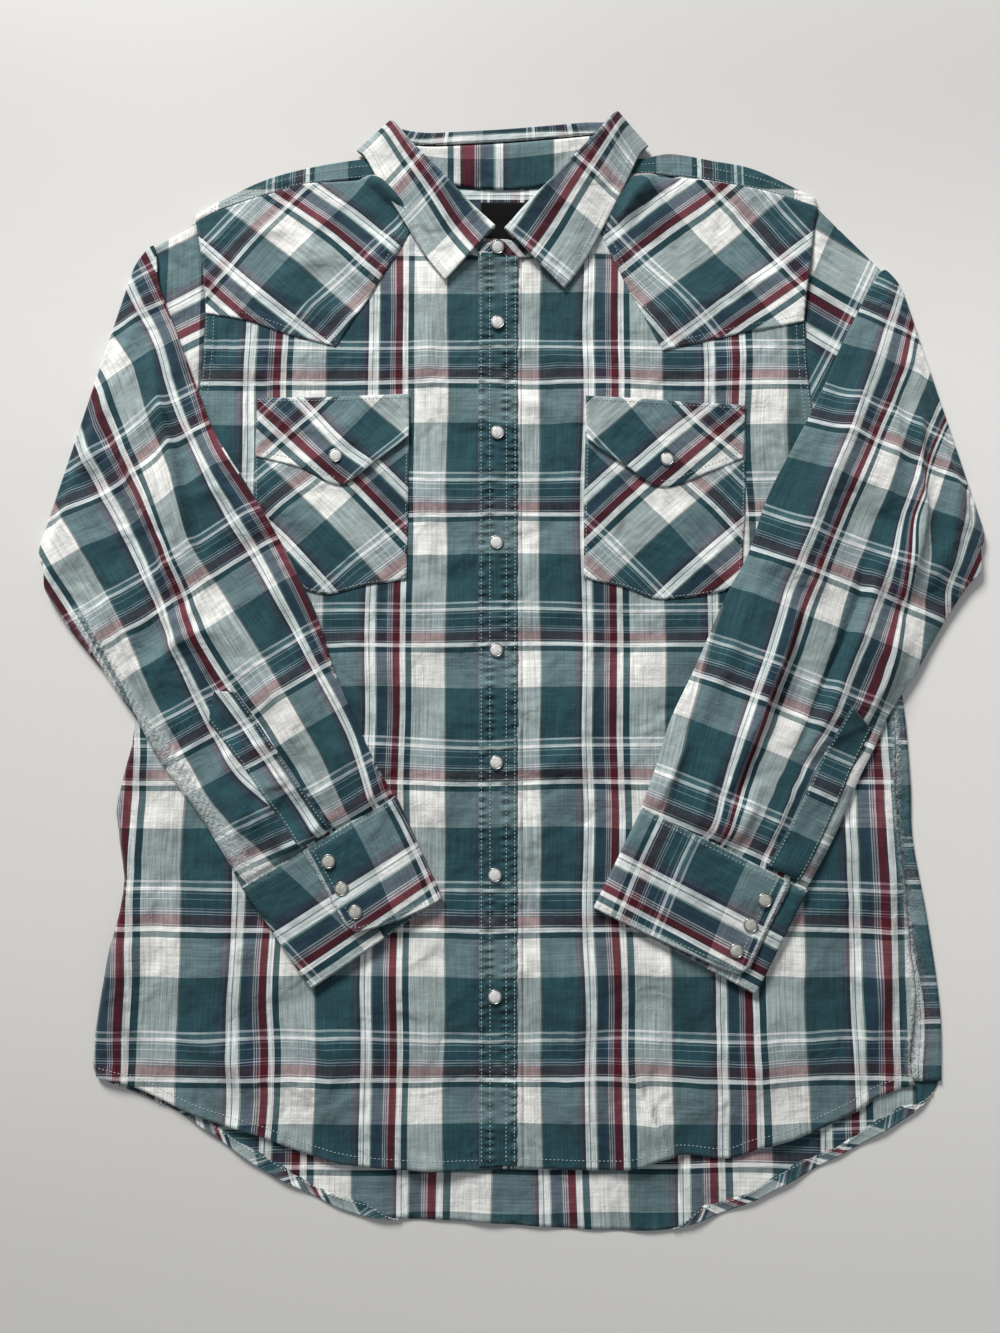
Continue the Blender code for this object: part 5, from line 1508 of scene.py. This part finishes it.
def finish_sleeves():
    for side in ("right", "left"):
        strip = make_sleeve_placket(side, make_sleeve(side))
        rows = np.linspace(0, strip.shape[0] - 1, 150)
        stitches("sleeve_placket_stitches_" + side,
                 [grid_line(strip, rows, np.full(150, k)) for k in (1.0, strip.shape[1] - 2.0)])
        top = make_cuff(side)
        top[..., 2] += CUFF_WALL / 2
        deep = top.shape[0] - 1
        ends = deep * 0.05, deep * 0.95
        over = np.linspace(0.5, CUFF_LAP_COLUMNS - 2, 120)
        seams = [grid_line(top, np.full(120, row), over) for row in ends]
        seams += [grid_line(top, np.linspace(*ends, 120), np.full(120, column)) for column in (0.5, 2.2)]
        stitches("cuff_stitches_" + side, seams)
        lapped = top[:, :CUFF_LAP_COLUMNS].reshape(-1, 3)
        crest, crest_mouth, under, under_mouth = (np.array(CUFFS[side][corner], float) for corner in
                                                  ("crest", "crest_mouth", "under", "under_mouth"))
        for k, (along, across) in enumerate(CUFF_SNAPS[side], start=1):
            x, y = mix(mix(crest, crest_mouth, along), mix(under, under_mouth, along), across)
            z = lapped[np.argmin(np.hypot(lapped[:, 0] - x, lapped[:, 1] - y)), 2] + 0.25
            make_snap(f"snap_cuff_{side}_{k}", (x, y, float(z)), pearl=SHADED_PEARL)


def finish_collar():
    make_stand()
    leaf = make_collar()
    rows, count = leaf.shape[0] - 1, leaf.shape[1]
    width = np.linalg.norm(leaf[-1] - leaf[0], axis=1)
    leaf[..., 2] += 0.6
    seams = []
    for a, b in ((0, int(count * 5.2 / 18)), (int(count * 12.8 / 18), count - 1)):
        columns = np.linspace(a, b, 240)
        inner = np.interp(columns, np.arange(count), rows * (1 - COLLAR_ROW / width))
        seams.append(grid_line(leaf, inner, np.clip(columns, 8, count - 9)))
    stitches("collar_stitches", seams)
    make_snap("snap_neck", NECK_SNAP, (NECK_TILT, 0, 0))


def place_front_snaps():
    snaps = [(f"snap_front_{k}", place, 1.4) for k, place in enumerate(FRONT_SNAPS, start=1)]
    snaps += [("snap_flap_" + side, place, 2.6) for side, place in FLAP_SNAPS.items()]
    for name, place, rise in snaps:
        make_snap(name, (*place, float(front_top(np.array([place], float))[0]) + rise))


# ---- floor, light and camera -------------------------------------------------------

# places down the board and its tone there: painted shade, which cancels the lamp's fall-off and makes the lit
# board darker towards the bottom
FLOOR_PAINTED_SHADE = ((0.03, 0.786), (0.32, 0.888), (0.66, 0.867), (0.97, 0.657))


def make_floor():
    material, tree, shader = new_material("pale_board")
    place = object_place(tree)
    x, y = put(tree, "ShaderNodeSeparateXYZ", {0: place}).outputs[:2]
    tones = [(at, (tone, tone * 0.985, tone * 0.955, 1)) for at, tone in FLOOR_PAINTED_SHADE]
    ramp = ramp_of(tree, maths(tree, "MULTIPLY_ADD", y, 1 / 1.1, 0.5), tones, "EASE")
    # painted light: the board is paler towards +X, which evens out the lamp's fall-off across it
    near = maths(tree, "MAXIMUM", maths(tree, "MINIMUM", x, 0.45), -0.45)
    level = maths(tree, "MULTIPLY_ADD", near, 0.23, 0.99)
    level = maths(tree, "MULTIPLY_ADD", noise(tree, place, 60, 5, 0.6), 0.02, level)
    tree.links.new(scaled(tree, ramp.outputs[0], level), shader.inputs["Base Color"])
    shader.inputs["Roughness"].default_value = 0.6
    bm = bmesh.new()
    bmesh.ops.create_grid(bm, x_segments=1, y_segments=1, size=3.0, matrix=Matrix.Translation((0, 0, -0.0004)))
    floor = bpy.data.objects.new("floor", mesh_of("floor", bm))
    bpy.context.scene.collection.objects.link(floor)
    floor.data.materials.append(material)


def make_light():
    world = bpy.data.worlds.new("room")
    bpy.context.scene.world = world
    world.use_nodes = True
    background = world.node_tree.nodes["Background"]
    background.inputs[0].default_value = (0.93, 0.96, 1.0, 1)
    background.inputs[1].default_value = 0.25
    away = Vector((-0.44, 1.02, 0.68)).normalized() * 3.5
    light = bpy.data.lights.new("window", "POINT")
    light.shadow_soft_size = 0.6
    light.energy = 550
    light.color = (1.0, 0.985, 0.96)
    lamp = bpy.data.objects.new("window", light)
    lamp.location = away
    bpy.context.scene.collection.objects.link(lamp)


def make_camera():
    data = bpy.data.cameras.new("camera")
    data.lens = 27
    data.sensor_fit = "VERTICAL"
    data.sensor_height = 36
    data.clip_start = 0.02
    camera = bpy.data.objects.new("camera", data)
    camera.location = (-0.010, -0.0912, 0.7963)
    camera.rotation_euler = (math.radians(5.5), 0, 0)
    bpy.context.scene.collection.objects.link(camera)
    bpy.context.scene.camera = camera
    bpy.context.scene.view_settings.view_transform = "Standard"


make_floor()
placket_top = make_body()
finish_sleeves()
finish_collar()
place_front_snaps()
stitch_body(placket_top)
make_light()
make_camera()
